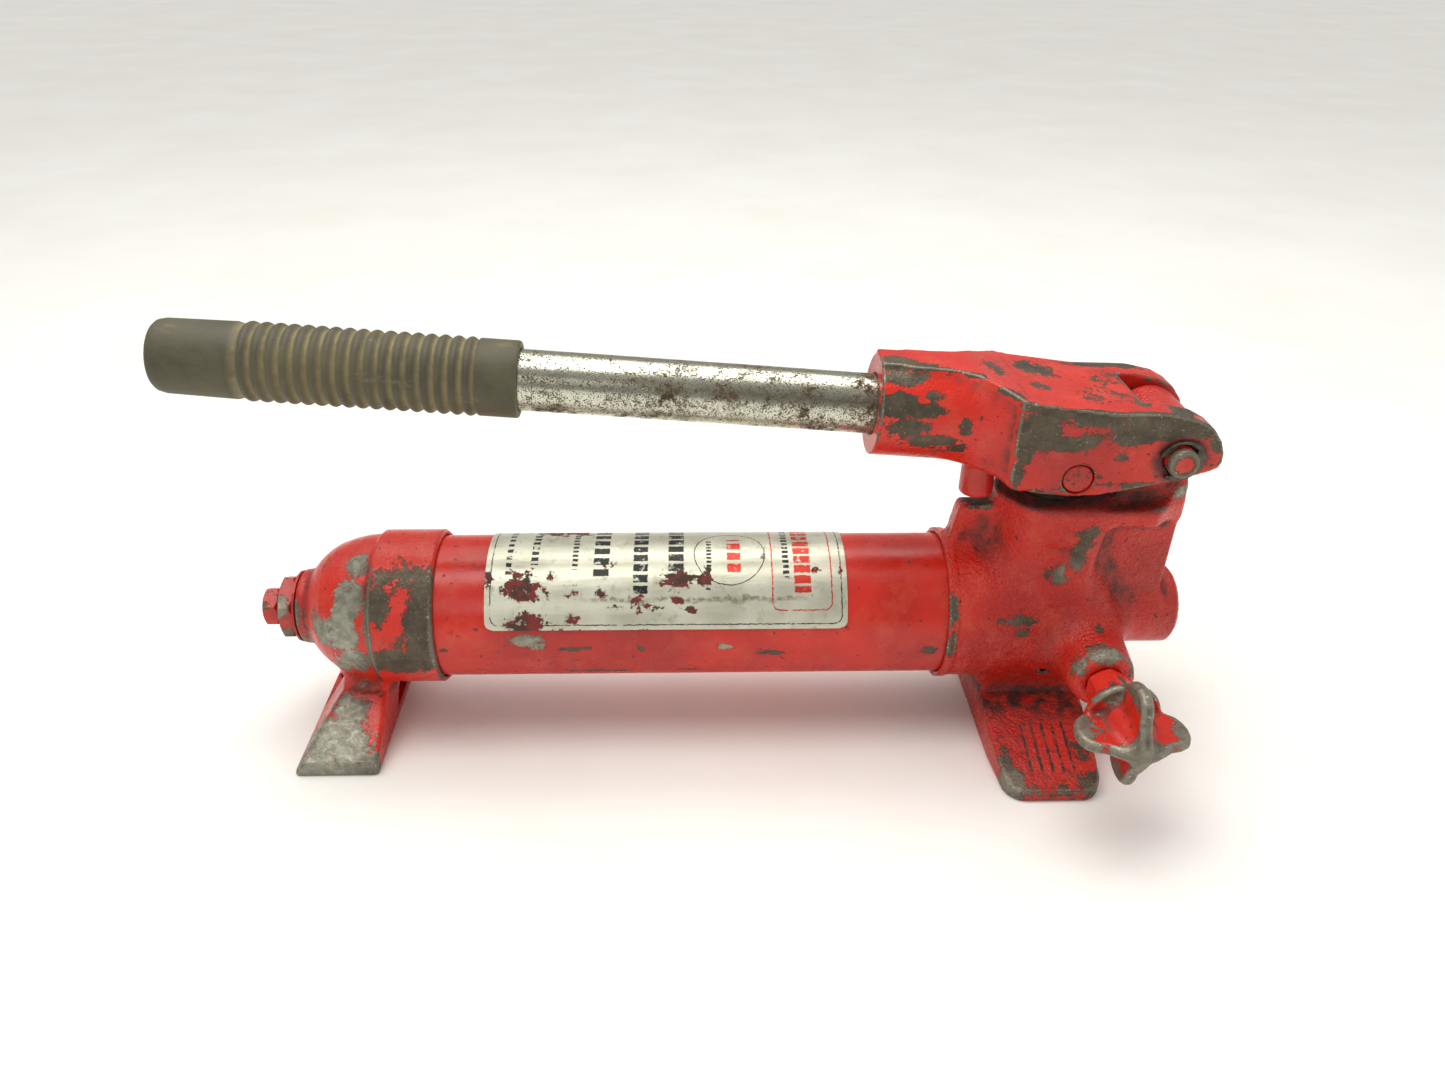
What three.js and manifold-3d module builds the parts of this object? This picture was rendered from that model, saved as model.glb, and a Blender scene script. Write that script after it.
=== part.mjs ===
// Hydraulic hand pump: a single-speed lever pump with its oil reservoir.
// Millimetres. X runs along the reservoir, +Y to the rear, Z up from the ground.
// The plunger's axis is x = 0, y = 0, and z = 0 is the underside of both feet.
import * as THREE from "three";
import { mergeVertices } from "three/addons/utils/BufferGeometryUtils.js";
import Module from "manifold-3d";

const wasm = await Module();
wasm.setup();

// ---------------------------------------------------------------- driving dimensions
const GAP = 0.3;

const RESERVOIR_Z = 49;
const TUBE_OUTER_R = 28.575;
const TUBE_INNER_R = 26.2;
const TUBE_LEFT_X = -252;
const TUBE_RIGHT_X = -32;
const SEAL_THICK = 0.9;
const SEAT_R = TUBE_OUTER_R + 0.35;

const HEAD_LEFT_X = -40.5;
const HEAD_FACE_X = TUBE_RIGHT_X + SEAL_THICK + 2 * GAP;
const BARREL_R = 30.3;
const TOWER_R = 21.5;
const TOWER_TOP_Z = 103.5;
const WEB_HALF = 12.7;
const TABLE_HALF = 22;
const TABLE_BOTTOM_Z = 97;

const PLUNGER_R = 7.94;
const BORE_R = 8.3;
const BORE_FLOOR_Z = 40;
const CHAMBER_R = 4;
const CHAMBER_FLOOR_Z = 28;
const PACKING_R = 12.3;
const PACKING_FLOOR_Z = 82;
const GLAND_R = 14.3;
const GLAND_FLOOR_Z = 92;

const FULCRUM_X = 35.5;
const FULCRUM_Z = 127;
const LUG_R = 13.3;
const LUG_RIGHT_X = 47.2;
const LIP_TOP_Z = 108;
const PIN_R = 5.55;
const PIN_HOLE_R = 5.9;
const PLUNGER_PIN_Z = 119;

const SUCTION_Z = 33;
const SUCTION_POCKET_R = 5;
const SUCTION_POCKET_END_X = -16;
const PASSAGE_R = 2;

const OUTLET_Z = 48;
const OUTLET_END_X = 57;
const OUTLET_R = 16.3;
const PORT_R = 8.6;
const PORT_FLOOR_X = 38;
const DISCHARGE_SEAT_X = 12;
const DISCHARGE_R = 4.6;

const RELEASE_X = 16;
const RELEASE_Z = 45;
const RELEASE_FACE_Y = -50;
const RELEASE_SEAT_Y = -17;
const RELEASE_BORE_R = 5.2;
const RELEASE_MOUTH_R = 6.8;
const RELEASE_MOUTH_Y = -38;
const RELEASE_PORT_R = 1.6;
const STEM_R = 4;
const RETURN_Y = -20;

const RELIEF_X = 2;
const RELIEF_Z = 32;
const RELIEF_R = 3.1;
const RELIEF_SEAT_Y = -12;
const RELIEF_PORT_R = 1.2;

const ROD_R = 5;
const ROD_LEFT_X = -304;
const ROD_RIGHT_X = -22;
const CAP_RIGHT_X = -239.6;
const CAP_SHOULDER_X = -265;
const CAP_END_X = -297.3;
const CAP_COLLAR_R = 31;

const YOKE_HALF = 25;
const SLOT_HALF = 13.5;
const SOCKET_R = 18.7;
const HANDLE_R = 11.11;
const HANDLE_HOLE_R = 11.45;
const HANDLE_WALL = 1.65;
const HANDLE_PIVOT_X = -77.6;
const HANDLE_PIVOT_Z = 138.5;
const HANDLE_SLOPE = 0.0743;
const PEG_X = -29.6;
const PEG_R = 6.5;
const PEG_BOTTOM_Z = 101;

// ---------------------------------------------------------------- solids from geometry
function solidOf(geometry) {
  const bare = geometry.clone();
  bare.deleteAttribute("normal");
  bare.deleteAttribute("uv");
  const merged = mergeVertices(bare, 1e-4);
  const corners = [];
  const index = merged.index.array;
  for (let i = 0; i < index.length; i += 3) {
    const [a, b, c] = [index[i], index[i + 1], index[i + 2]];
    if (a !== b && b !== c && c !== a) corners.push(a, b, c);
  }
  const vertProperties = new Float32Array(merged.attributes.position.array);
  const triVerts = new Uint32Array(corners);
  return new wasm.Manifold(new wasm.Mesh({ numProp: 3, vertProperties, triVerts }));
}

function geometryOf(solid) {
  const { vertProperties, triVerts } = solid.getMesh();
  const geometry = new THREE.BufferGeometry();
  geometry.setAttribute("position", new THREE.BufferAttribute(vertProperties, 3));
  geometry.setIndex(new THREE.BufferAttribute(triVerts, 1));
  geometry.computeVertexNormals();
  return geometry;
}

// Turns geometry made along +Y so that it runs along the axis named.
function layAlong(geometry, axis) {
  if (axis === "x") geometry.rotateZ(-Math.PI / 2);
  if (axis === "z") geometry.rotateX(Math.PI / 2);
  return geometry;
}

// The point `along` the axis, with the other two coordinates in X, Y, Z order.
function pointOn(axis, along, first, second) {
  if (axis === "x") return [along, first, second];
  if (axis === "y") return [first, along, second];
  return [first, second, along];
}

function rod(axis, radius, from, to, first = 0, second = 0, sides = 24) {
  const shape = new THREE.CylinderGeometry(radius, radius, to - from, sides);
  layAlong(shape, axis);
  shape.translate(...pointOn(axis, (from + to) / 2, first, second));
  return solidOf(shape);
}

function hexBar(axis, acrossFlats, from, to, first, second) {
  return rod(axis, acrossFlats / Math.sqrt(3), from, to, first, second, 6);
}

function ring(axis, outerR, innerR, from, to, first = 0, second = 0, sides = 20) {
  const outer = rod(axis, outerR, from, to, first, second, sides);
  return outer.subtract(rod(axis, innerR, from - 1, to + 1, first, second, sides));
}

// A body of revolution from [along, radius] points, given in either direction.
function turned(axis, points, first = 0, second = 0, sides = 48) {
  let area = 0;
  points.forEach(([along, radius], i) => {
    const [nextAlong, nextRadius] = points[(i + 1) % points.length];
    area += radius * nextAlong - nextRadius * along;
  });
  const ordered = area > 0 ? points : [...points].reverse();
  const profile = ordered.map(([along, radius]) => new THREE.Vector2(radius, along));
  if (points.every(([, radius]) => radius > 0)) profile.push(profile[0].clone());
  const shape = new THREE.LatheGeometry(profile, sides);
  layAlong(shape, axis);
  shape.translate(...pointOn(axis, 0, first, second));
  return solidOf(shape);
}

function block(x0, x1, y0, y1, z0, z1) {
  const shape = new THREE.BoxGeometry(x1 - x0, y1 - y0, z1 - z0);
  shape.translate((x0 + x1) / 2, (y0 + y1) / 2, (z0 + z1) / 2);
  return solidOf(shape);
}

function extruded(outline, depth) {
  return new THREE.ExtrudeGeometry(outline, { depth, bevelEnabled: false, curveSegments: 8 });
}

function outlineOf(points) {
  return new THREE.Shape(points.map(([a, b]) => new THREE.Vector2(a, b)));
}

// Outline in X and Z, filled from y0 to y1.
function sideSlab(outline, y0, y1) {
  const shape = extruded(outline, y1 - y0);
  shape.rotateX(Math.PI / 2);
  shape.translate(0, y1, 0);
  return solidOf(shape);
}

// Outline in X and Y, filled from z0 to z1.
function planSlab(outline, z0, z1) {
  const shape = extruded(outline, z1 - z0);
  shape.translate(0, 0, z0);
  return solidOf(shape);
}

// Outline in Y and Z, filled from x0 to x1.
function endSlab(outline, x0, x1) {
  const shape = extruded(outline, x1 - x0);
  shape.rotateX(Math.PI / 2);
  shape.rotateZ(Math.PI / 2);
  shape.translate(x0, 0, 0);
  return solidOf(shape);
}

function ball(radius) {
  return new THREE.SphereGeometry(radius, 10, 8);
}

// A round-wire compression spring along +Y, starting at the origin.
function springSolid(coilR, wireR, length, turns) {
  class Helix extends THREE.Curve {
    getPoint(t, target = new THREE.Vector3()) {
      const angle = 2 * Math.PI * turns * t;
      const rise = wireR + (length - 2 * wireR) * t;
      return target.set(coilR * Math.cos(angle), rise, coilR * Math.sin(angle));
    }
  }
  const wire = new THREE.Shape().absarc(0, 0, wireR, 0, 2 * Math.PI, false);
  const steps = turns * 8;
  const shape = new THREE.ExtrudeGeometry(wire, {
    steps,
    extrudePath: new Helix(),
    curveSegments: 2,
    bevelEnabled: false,
  });
  return solidOf(shape);
}

// ---------------------------------------------------------------- materials and scene graph
const RED = { color: 0xc21f1c, roughness: 0.45, metalness: 0.1 };
const STEEL = { color: 0x8d8f8c, roughness: 0.35, metalness: 0.9 };
const DARK_STEEL = { color: 0x4c4740, roughness: 0.5, metalness: 0.8 };
const CHROME = { color: 0xc9cac8, roughness: 0.15, metalness: 1.0 };
const RUBBER = { color: 0x4a463d, roughness: 0.85, metalness: 0.0 };
const SEAL = { color: 0x1c1c1c, roughness: 0.7, metalness: 0.0 };
const BRASS = { color: 0xb08d4a, roughness: 0.4, metalness: 0.9 };
const FOIL = { color: 0xc8c8c2, roughness: 0.35, metalness: 0.7 };
const ZINC = { color: 0x8f927f, roughness: 0.5, metalness: 0.6 };

const pump = new THREE.Group();
const leverGroup = new THREE.Group();
const handleGroup = new THREE.Group();
pump.add(leverGroup);
leverGroup.add(handleGroup);
handleGroup.position.set(HANDLE_PIVOT_X, 0, HANDLE_PIVOT_Z);
handleGroup.rotation.y = HANDLE_SLOPE;

function addPiece(parent, name, shape, look) {
  const geometry = shape.isBufferGeometry ? shape : geometryOf(shape);
  const mesh = new THREE.Mesh(geometry, new THREE.MeshStandardMaterial(look));
  mesh.name = name;
  parent.add(mesh);
  return mesh;
}

// ---------------------------------------------------------------- cast pump body
// The one casting is three solids here: the body, the collar around the reservoir
// tube, and the end of the outlet boss, so that both round sockets stay open.
function bodyCasting() {
  const barrel = turned("x", [
    [HEAD_LEFT_X, 0],
    [HEAD_LEFT_X, 30.1],
    [HEAD_LEFT_X + 0.8, 30.8],
    [HEAD_LEFT_X + 3.4, 30.8],
    [HEAD_LEFT_X + 4, BARREL_R],
    [12, BARREL_R],
    [19, 28.4],
    [24, 23.8],
    [26.5, 16],
    [26.5, 0],
  ], 0, RESERVOIR_Z, 40);
  const tower = rod("z", TOWER_R, RESERVOIR_Z, TOWER_TOP_Z, 0, 0, 32);
  const ledge = sideSlab(outlineOf([
    [-37.4, 70],
    [-18, 70],
    [-18, 96.6],
    [-34.5, 96.6],
    [-35.6, 95.4],
    [-37.4, 86.6],
  ]), -4, 4);
  const table = planSlab(outlineOf([
    [0, -TABLE_HALF],
    [38, -TABLE_HALF],
    [LUG_RIGHT_X, -WEB_HALF],
    [LUG_RIGHT_X, WEB_HALF],
    [38, TABLE_HALF],
    [0, TABLE_HALF],
  ]), TABLE_BOTTOM_Z, TOWER_TOP_Z);
  const lip = planSlab(outlineOf([
    [34, -TABLE_HALF + 1],
    [38, -TABLE_HALF + 1],
    [LUG_RIGHT_X - 1, -WEB_HALF],
    [LUG_RIGHT_X - 1, WEB_HALF],
    [38, TABLE_HALF - 1],
    [34, TABLE_HALF - 1],
  ]), TABLE_BOTTOM_Z, LIP_TOP_Z);
  const lugShape = new THREE.Shape();
  lugShape.moveTo(20, OUTLET_Z);
  lugShape.lineTo(LUG_RIGHT_X - 0.3, OUTLET_Z);
  lugShape.lineTo(LUG_RIGHT_X, 112);
  lugShape.lineTo(FULCRUM_X + LUG_R, FULCRUM_Z);
  lugShape.absarc(FULCRUM_X, FULCRUM_Z, LUG_R, 0, Math.PI, false);
  lugShape.lineTo(20, TOWER_TOP_Z);
  const lug = sideSlab(lugShape, -WEB_HALF, WEB_HALF);
  const web = block(0, LUG_RIGHT_X - 0.5, -WEB_HALF, WEB_HALF, RESERVOIR_Z, TABLE_BOTTOM_Z + 1);
  const outlet = turned("x", [
    [10, 0],
    [10, OUTLET_R],
    [OUTLET_END_X - 2, OUTLET_R],
    [OUTLET_END_X, OUTLET_R - 2],
    [OUTLET_END_X, 0],
  ], 0, OUTLET_Z, 28);
  const release = turned("y", [
    [-8, 0],
    [-8, 19],
    [-30, 14.2],
    [-46, 12.4],
    [-49, 11.4],
    [RELEASE_FACE_Y, 10],
    [RELEASE_FACE_Y, 0],
  ], RELEASE_X, RELEASE_Z, 28);
  return [tower, ledge, table, lip, lug, web, outlet, release, frontFoot()]
    .reduce((whole, next) => whole.add(next), barrel);
}

function frontFoot() {
  const front = outlineOf([
    [-66.5, 0],
    [66.5, 0],
    [66.5, 4],
    [65.5, 5],
    [20, 17.5],
    [18, 30],
    [-18, 30],
    [-20, 17.5],
    [-65.5, 5],
    [-66.5, 4],
  ]);
  const plan = new THREE.Shape();
  const corner = 9;
  const left = -19.5;
  const right = 18.7;
  plan.moveTo(left - 1.5, -40);
  plan.lineTo(left, -66.5 + corner);
  plan.absarc(left + corner, -66.5 + corner, corner, Math.PI, 1.5 * Math.PI, false);
  plan.lineTo(right - corner, -66.5);
  plan.absarc(right - corner, -66.5 + corner, corner, 1.5 * Math.PI, 2 * Math.PI, false);
  plan.lineTo(right + 1.5, -40);
  plan.lineTo(right + 1.5, 40);
  plan.lineTo(right, 66.5 - corner);
  plan.absarc(right - corner, 66.5 - corner, corner, 0, 0.5 * Math.PI, false);
  plan.lineTo(left + corner, 66.5);
  plan.absarc(left + corner, 66.5 - corner, corner, 0.5 * Math.PI, Math.PI, false);
  plan.lineTo(left - 1.5, 40);
  return endSlab(front, left - 1.5, right + 1.5).intersect(planSlab(plan, 0, 31));
}

function bodyMachining() {
  const beyond = 0.5;
  const leftFace = HEAD_FACE_X - 0.1;
  return [
    block(HEAD_LEFT_X - beyond, HEAD_FACE_X, -35, 35, 0, TOWER_TOP_Z),
    rod("x", OUTLET_R + GAP, PORT_FLOOR_X, OUTLET_END_X + beyond, 0, OUTLET_Z, 28),
    rod("x", ROD_R + 0.35, leftFace, ROD_RIGHT_X + GAP, 0, RESERVOIR_Z),
    rod("z", BORE_R, BORE_FLOOR_Z, TOWER_TOP_Z + beyond),
    rod("z", CHAMBER_R, CHAMBER_FLOOR_Z, BORE_FLOOR_Z + 1),
    rod("z", PACKING_R, PACKING_FLOOR_Z, TOWER_TOP_Z + beyond),
    rod("z", GLAND_R, GLAND_FLOOR_Z, TOWER_TOP_Z + beyond),
    rod("y", PIN_HOLE_R, -WEB_HALF - 1, WEB_HALF + 1, FULCRUM_X, FULCRUM_Z),
    rod("x", SUCTION_POCKET_R, leftFace, SUCTION_POCKET_END_X, 0, SUCTION_Z),
    rod("x", PASSAGE_R, SUCTION_POCKET_END_X - 1, 0, 0, SUCTION_Z, 16),
    rod("x", PASSAGE_R, 0, DISCHARGE_SEAT_X + 1, 0, OUTLET_Z, 16),
    rod("x", DISCHARGE_R, DISCHARGE_SEAT_X, PORT_FLOOR_X + 1, 0, OUTLET_Z),
    rod("y", RELEASE_MOUTH_R, RELEASE_FACE_Y - beyond, RELEASE_MOUTH_Y, RELEASE_X, RELEASE_Z),
    rod("y", RELEASE_BORE_R, RELEASE_MOUTH_Y - 1, RELEASE_SEAT_Y, RELEASE_X, RELEASE_Z),
    rod("y", RELEASE_PORT_R, RELEASE_SEAT_Y - 1, -2, RELEASE_X, RELEASE_Z, 16),
    rod("x", PASSAGE_R, leftFace, RELEASE_X - 3, RETURN_Y, RELEASE_Z, 16),
    rod("y", RELIEF_R, -34, RELIEF_SEAT_Y, RELIEF_X, RELIEF_Z, 20),
    rod("y", RELIEF_PORT_R, RELIEF_SEAT_Y - 1, -2, RELIEF_X, RELIEF_Z, 12),
  ];
}

const casting = bodyCasting();
const pumpBody = bodyMachining().reduce((body, cut) => body.subtract(cut), casting);
addPiece(pump, "pump_body", pumpBody, RED);

const collarSide = block(HEAD_LEFT_X - 1, HEAD_FACE_X - GAP, -35, 35, 0, TOWER_TOP_Z);
const tubeSeat = rod("x", SEAT_R, HEAD_LEFT_X - 1, HEAD_FACE_X, 0, RESERVOIR_Z, 48);
addPiece(pump, "pump_body_tube_collar", casting.intersect(collarSide).subtract(tubeSeat), RED);

addPiece(pump, "pump_body_outlet_boss", turned("x", [
  [PORT_FLOOR_X + GAP, PORT_R],
  [PORT_FLOOR_X + GAP, OUTLET_R],
  [OUTLET_END_X - 2, OUTLET_R],
  [OUTLET_END_X, OUTLET_R - 2],
  [OUTLET_END_X, PORT_R],
], 0, OUTLET_Z, 28), RED);

// ---------------------------------------------------------------- reservoir
const tubeSection = [
  [TUBE_LEFT_X, TUBE_INNER_R],
  [TUBE_LEFT_X, TUBE_OUTER_R],
  [TUBE_RIGHT_X, TUBE_OUTER_R],
  [TUBE_RIGHT_X, TUBE_INNER_R],
];
addPiece(pump, "reservoir_tube", turned("x", tubeSection, 0, RESERVOIR_Z, 48), RED);

function tubeSeal(from) {
  return ring("x", TUBE_OUTER_R, TUBE_INNER_R + 0.2, from, from + SEAL_THICK, 0, RESERVOIR_Z, 32);
}
addPiece(pump, "head_tube_seal", tubeSeal(TUBE_RIGHT_X + GAP), SEAL);
addPiece(pump, "cap_tube_seal", tubeSeal(TUBE_LEFT_X - GAP - SEAL_THICK), SEAL);

function endCap() {
  const outside = turned("x", [
    [CAP_RIGHT_X, 0],
    [CAP_RIGHT_X, 29.6],
    [CAP_RIGHT_X - 1.4, CAP_COLLAR_R],
    [CAP_SHOULDER_X + 1, CAP_COLLAR_R],
    [CAP_SHOULDER_X, 29.3],
    [-276.6, 27.6],
    [-284.5, 24.3],
    [-289.7, 19.8],
    [-293.2, 16.2],
    [-295.5, 15],
    [CAP_END_X, 15],
    [CAP_END_X, 0],
  ], 0, RESERVOIR_Z, 40);
  const seatX = TUBE_LEFT_X - 2 * GAP - SEAL_THICK;
  const hollow = turned("x", [
    [seatX + 1, 0],
    [seatX + 1, 25.2],
    [-266, 25.2],
    [-277, 22.5],
    [-284, 17.5],
    [-288, 11],
    [-288, 0],
  ], 0, RESERVOIR_Z, 28);
  const seat = rod("x", SEAT_R, seatX, CAP_RIGHT_X + 1, 0, RESERVOIR_Z, 48);
  const rodHole = rod("x", ROD_R + 0.4, CAP_END_X - 1, -280, 0, RESERVOIR_Z);
  return outside.add(rearFoot()).subtract(hollow).subtract(seat).subtract(rodHole);
}

function rearFoot() {
  const front = outlineOf([
    [-47.5, 0],
    [47.5, 0],
    [47.5, 4.5],
    [46.5, 5.5],
    [20, 21],
    [16, 36],
    [-16, 36],
    [-20, 21],
    [-46.5, 5.5],
    [-47.5, 4.5],
  ]);
  const side = outlineOf([
    [-298, 0],
    [-264, 0],
    [-264, 36],
    [-279, 36],
    [-283, 20],
    [-294.5, 5.5],
  ]);
  const window = outlineOf([
    [-13, 3],
    [13, 3],
    [0, 15],
  ]);
  const wedge = endSlab(front, -298, -264).intersect(sideSlab(side, -48, 48));
  return wedge.subtract(endSlab(window, -300, -262));
}
addPiece(pump, "end_cap", endCap(), RED);

function reservoirLabel() {
  const inner = TUBE_OUTER_R + GAP;
  const outer = inner + 0.3;
  const start = THREE.MathUtils.degToRad(14);
  const end = Math.PI - start;
  const sector = new THREE.Shape();
  sector.absarc(0, 0, outer, start, end, false);
  sector.absarc(0, 0, inner, end, start, true);
  const shape = new THREE.ExtrudeGeometry(sector, {
    depth: 140,
    bevelEnabled: false,
    curveSegments: 20,
  });
  shape.rotateX(Math.PI / 2);
  shape.rotateZ(Math.PI / 2);
  return solidOf(shape);
}
const label = addPiece(pump, "reservoir_label", reservoirLabel(), FOIL);
label.position.set(-220, 0, RESERVOIR_Z);

// ---------------------------------------------------------------- tie rod and vent
const NUT_RIGHT_X = CAP_END_X - 1.5;
const NUT_LEFT_X = -305;
const VENT_SEAL_X = NUT_LEFT_X - GAP;
const VENT_HEX_X = VENT_SEAL_X - SEAL_THICK - GAP;

function tieRod() {
  const bar = rod("x", ROD_R, ROD_LEFT_X, ROD_RIGHT_X, 0, RESERVOIR_Z);
  const vent = rod("x", 3.3, ROD_LEFT_X - 1, -272, 0, RESERVOIR_Z, 20);
  const cross = rod("z", 1.5, RESERVOIR_Z - 7, RESERVOIR_Z + 7, -274, 0, 12);
  return bar.subtract(vent).subtract(cross);
}
addPiece(pump, "tie_rod", tieRod(), STEEL);

const washer = ring("x", 14.6, ROD_R + 0.35, CAP_END_X - 1.2, CAP_END_X - GAP, 0, RESERVOIR_Z);
addPiece(pump, "tie_nut_washer", washer, STEEL);

const nutBlank = hexBar("x", 23.8, NUT_LEFT_X, NUT_RIGHT_X, 0, RESERVOIR_Z);
const nutHole = rod("x", ROD_R + 0.35, NUT_LEFT_X - 1, NUT_RIGHT_X + 1, 0, RESERVOIR_Z);
addPiece(pump, "tie_rod_nut", nutBlank.subtract(nutHole), RED);

const ventSeal = ring("x", 6.4, 3.35, VENT_SEAL_X - SEAL_THICK, VENT_SEAL_X, 0, RESERVOIR_Z);
addPiece(pump, "vent_screw_seal", ventSeal, SEAL);

const ventHead = hexBar("x", 14.3, VENT_HEX_X - 6.3, VENT_HEX_X, 0, RESERVOIR_Z);
const ventShank = rod("x", 3, VENT_HEX_X - 1, VENT_HEX_X + 12, 0, RESERVOIR_Z, 20);
const ventBleed = rod("x", 1, VENT_HEX_X - 3, VENT_HEX_X + 13, 0, RESERVOIR_Z, 12);
const ventScrew = ventHead.add(ventShank).subtract(ventBleed);
addPiece(pump, "vent_screw", ventScrew, RED);

// ---------------------------------------------------------------- suction side
const SEAT_FACE_X = -26.5;
const suctionSeat = ring("x", 4.7, PASSAGE_R, -30.2, SEAT_FACE_X, 0, SUCTION_Z, 24);
addPiece(pump, "suction_seat", suctionSeat, BRASS);

const pipe = ring("x", 3.5, 2.5, -92, -30.5, 0, SUCTION_Z, 20);
addPiece(pump, "suction_tube", pipe, BRASS);

const strainer = turned("x", [
  [-112, 0],
  [-112, 6.5],
  [-84, 6.5],
  [-84, 3.85],
  [-86, 3.85],
  [-86, 5.5],
  [-110, 5.5],
  [-110, 0],
], 0, SUCTION_Z, 20);
addPiece(pump, "suction_strainer", strainer, BRASS);

const SUCTION_BALL_R = 3.2;
const suctionBallX = SEAT_FACE_X + Math.sqrt(SUCTION_BALL_R ** 2 - PASSAGE_R ** 2) + GAP;
const suctionBall = addPiece(pump, "suction_ball", ball(SUCTION_BALL_R), STEEL);
suctionBall.position.set(suctionBallX, 0, SUCTION_Z);

const suctionSpringX = suctionBallX + SUCTION_BALL_R + GAP;
const suctionSpringLength = SUCTION_POCKET_END_X - GAP - suctionSpringX;
const suctionSpring = springSolid(3, 0.4, suctionSpringLength, 3);
const suctionSpringMesh = addPiece(pump, "suction_spring", suctionSpring, STEEL);
suctionSpringMesh.rotation.z = -Math.PI / 2;
suctionSpringMesh.position.set(suctionSpringX, 0, SUCTION_Z);

// ---------------------------------------------------------------- discharge side
const DISCHARGE_BALL_R = 3.6;
const RETAINER_X = 33;
const dischargeBallX =
  DISCHARGE_SEAT_X + Math.sqrt(DISCHARGE_BALL_R ** 2 - PASSAGE_R ** 2) + GAP;
const dischargeBall = addPiece(pump, "discharge_ball", ball(DISCHARGE_BALL_R), STEEL);
dischargeBall.position.set(dischargeBallX, 0, OUTLET_Z);

const dischargeSpringX = dischargeBallX + DISCHARGE_BALL_R + GAP;
const dischargeSpringLength = RETAINER_X - GAP - dischargeSpringX;
const dischargeSpring = springSolid(3.4, 0.5, dischargeSpringLength, 5);
const dischargeSpringMesh = addPiece(pump, "discharge_spring", dischargeSpring, STEEL);
dischargeSpringMesh.rotation.z = -Math.PI / 2;
dischargeSpringMesh.position.set(dischargeSpringX, 0, OUTLET_Z);

const retainer = ring("x", 4.25, 1.8, RETAINER_X, PORT_FLOOR_X - GAP, 0, OUTLET_Z, 24);
addPiece(pump, "discharge_retainer", retainer, BRASS);

// ---------------------------------------------------------------- relief valve
const RELIEF_BALL_R = 2;
const RELIEF_SCREW_Y = -20;
const reliefBallY = RELIEF_SEAT_Y - Math.sqrt(RELIEF_BALL_R ** 2 - RELIEF_PORT_R ** 2) - GAP;
const reliefBall = addPiece(pump, "relief_ball", ball(RELIEF_BALL_R), STEEL);
reliefBall.position.set(RELIEF_X, reliefBallY, RELIEF_Z);

const reliefSpringY = RELIEF_SCREW_Y + GAP;
const reliefSpringLength = reliefBallY - RELIEF_BALL_R - GAP - reliefSpringY;
const reliefSpring = springSolid(2, 0.35, reliefSpringLength, 3);
const reliefSpringMesh = addPiece(pump, "relief_spring", reliefSpring, STEEL);
reliefSpringMesh.position.set(RELIEF_X, reliefSpringY, RELIEF_Z);

const reliefBlank = rod("y", 2.75, -24.2, RELIEF_SCREW_Y, RELIEF_X, RELIEF_Z, 20);
const reliefKey = hexBar("y", 2.5, -25, -22, RELIEF_X, RELIEF_Z);
addPiece(pump, "relief_screw", reliefBlank.subtract(reliefKey), DARK_STEEL);

// ---------------------------------------------------------------- plunger and its packing
const EYE_HALF_LENGTH = 8.8;
const EYE_HALF_HEIGHT = 6.2;
const EYE_WALL = 4;

function stadium(halfLength, halfHeight) {
  const shape = new THREE.Shape();
  const offset = halfLength - halfHeight;
  shape.absarc(offset, PLUNGER_PIN_Z, halfHeight, -Math.PI / 2, Math.PI / 2, false);
  shape.absarc(-offset, PLUNGER_PIN_Z, halfHeight, Math.PI / 2, 1.5 * Math.PI, false);
  return shape;
}

function plungerSolid() {
  const shaft = rod("z", PLUNGER_R, 42.5, PLUNGER_PIN_Z - EYE_HALF_HEIGHT - 1, 0, 0, 24);
  const head = sideSlab(stadium(EYE_HALF_LENGTH + EYE_WALL, EYE_HALF_HEIGHT + EYE_WALL), -8, 8);
  const slot = sideSlab(stadium(EYE_HALF_LENGTH, EYE_HALF_HEIGHT), -9, 9);
  return shaft.add(head).subtract(slot);
}
addPiece(pump, "plunger", plungerSolid(), CHROME);

function packingRing(outerR, from, to) {
  return ring("z", outerR, BORE_R + 0.1, from, to, 0, 0, 24);
}
addPiece(pump, "plunger_packing", packingRing(PACKING_R - GAP, 82.3, 88), SEAL);
addPiece(pump, "plunger_backup_ring", packingRing(PACKING_R - GAP, 88.3, 91.7), BRASS);

function glandNut() {
  const blank = packingRing(GLAND_R - GAP, GLAND_FLOOR_Z + GAP, 104.8);
  const wiperRecess = rod("z", 10.45, 101.5, 106, 0, 0, 24);
  const keySlot = block(-16, 16, -1.6, 1.6, 103, 106);
  return blank.subtract(wiperRecess).subtract(keySlot);
}
addPiece(pump, "plunger_gland_nut", glandNut(), STEEL);
addPiece(pump, "plunger_wiper", packingRing(10.1, 101.8, 104.4), SEAL);

// ---------------------------------------------------------------- release valve
const releaseBallR = 2.8;
const releaseBallY = RELEASE_SEAT_Y - Math.sqrt(releaseBallR ** 2 - RELEASE_PORT_R ** 2) - GAP;
const releaseBall = addPiece(pump, "release_ball", ball(releaseBallR), STEEL);
releaseBall.position.set(RELEASE_X, releaseBallY, RELEASE_Z);

const KNOB_REAR_Y = -61.5;
const KNOB_FRONT_Y = -91.5;
const KNOB_PIN_Y = -64.3;
const KNOB_PIN_R = 1.2;
const STEM_THREAD_END_Y = -35.8;
const WING_TIP_R = 20.5;
const WING_HALF_THICK = 2.4;

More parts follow.
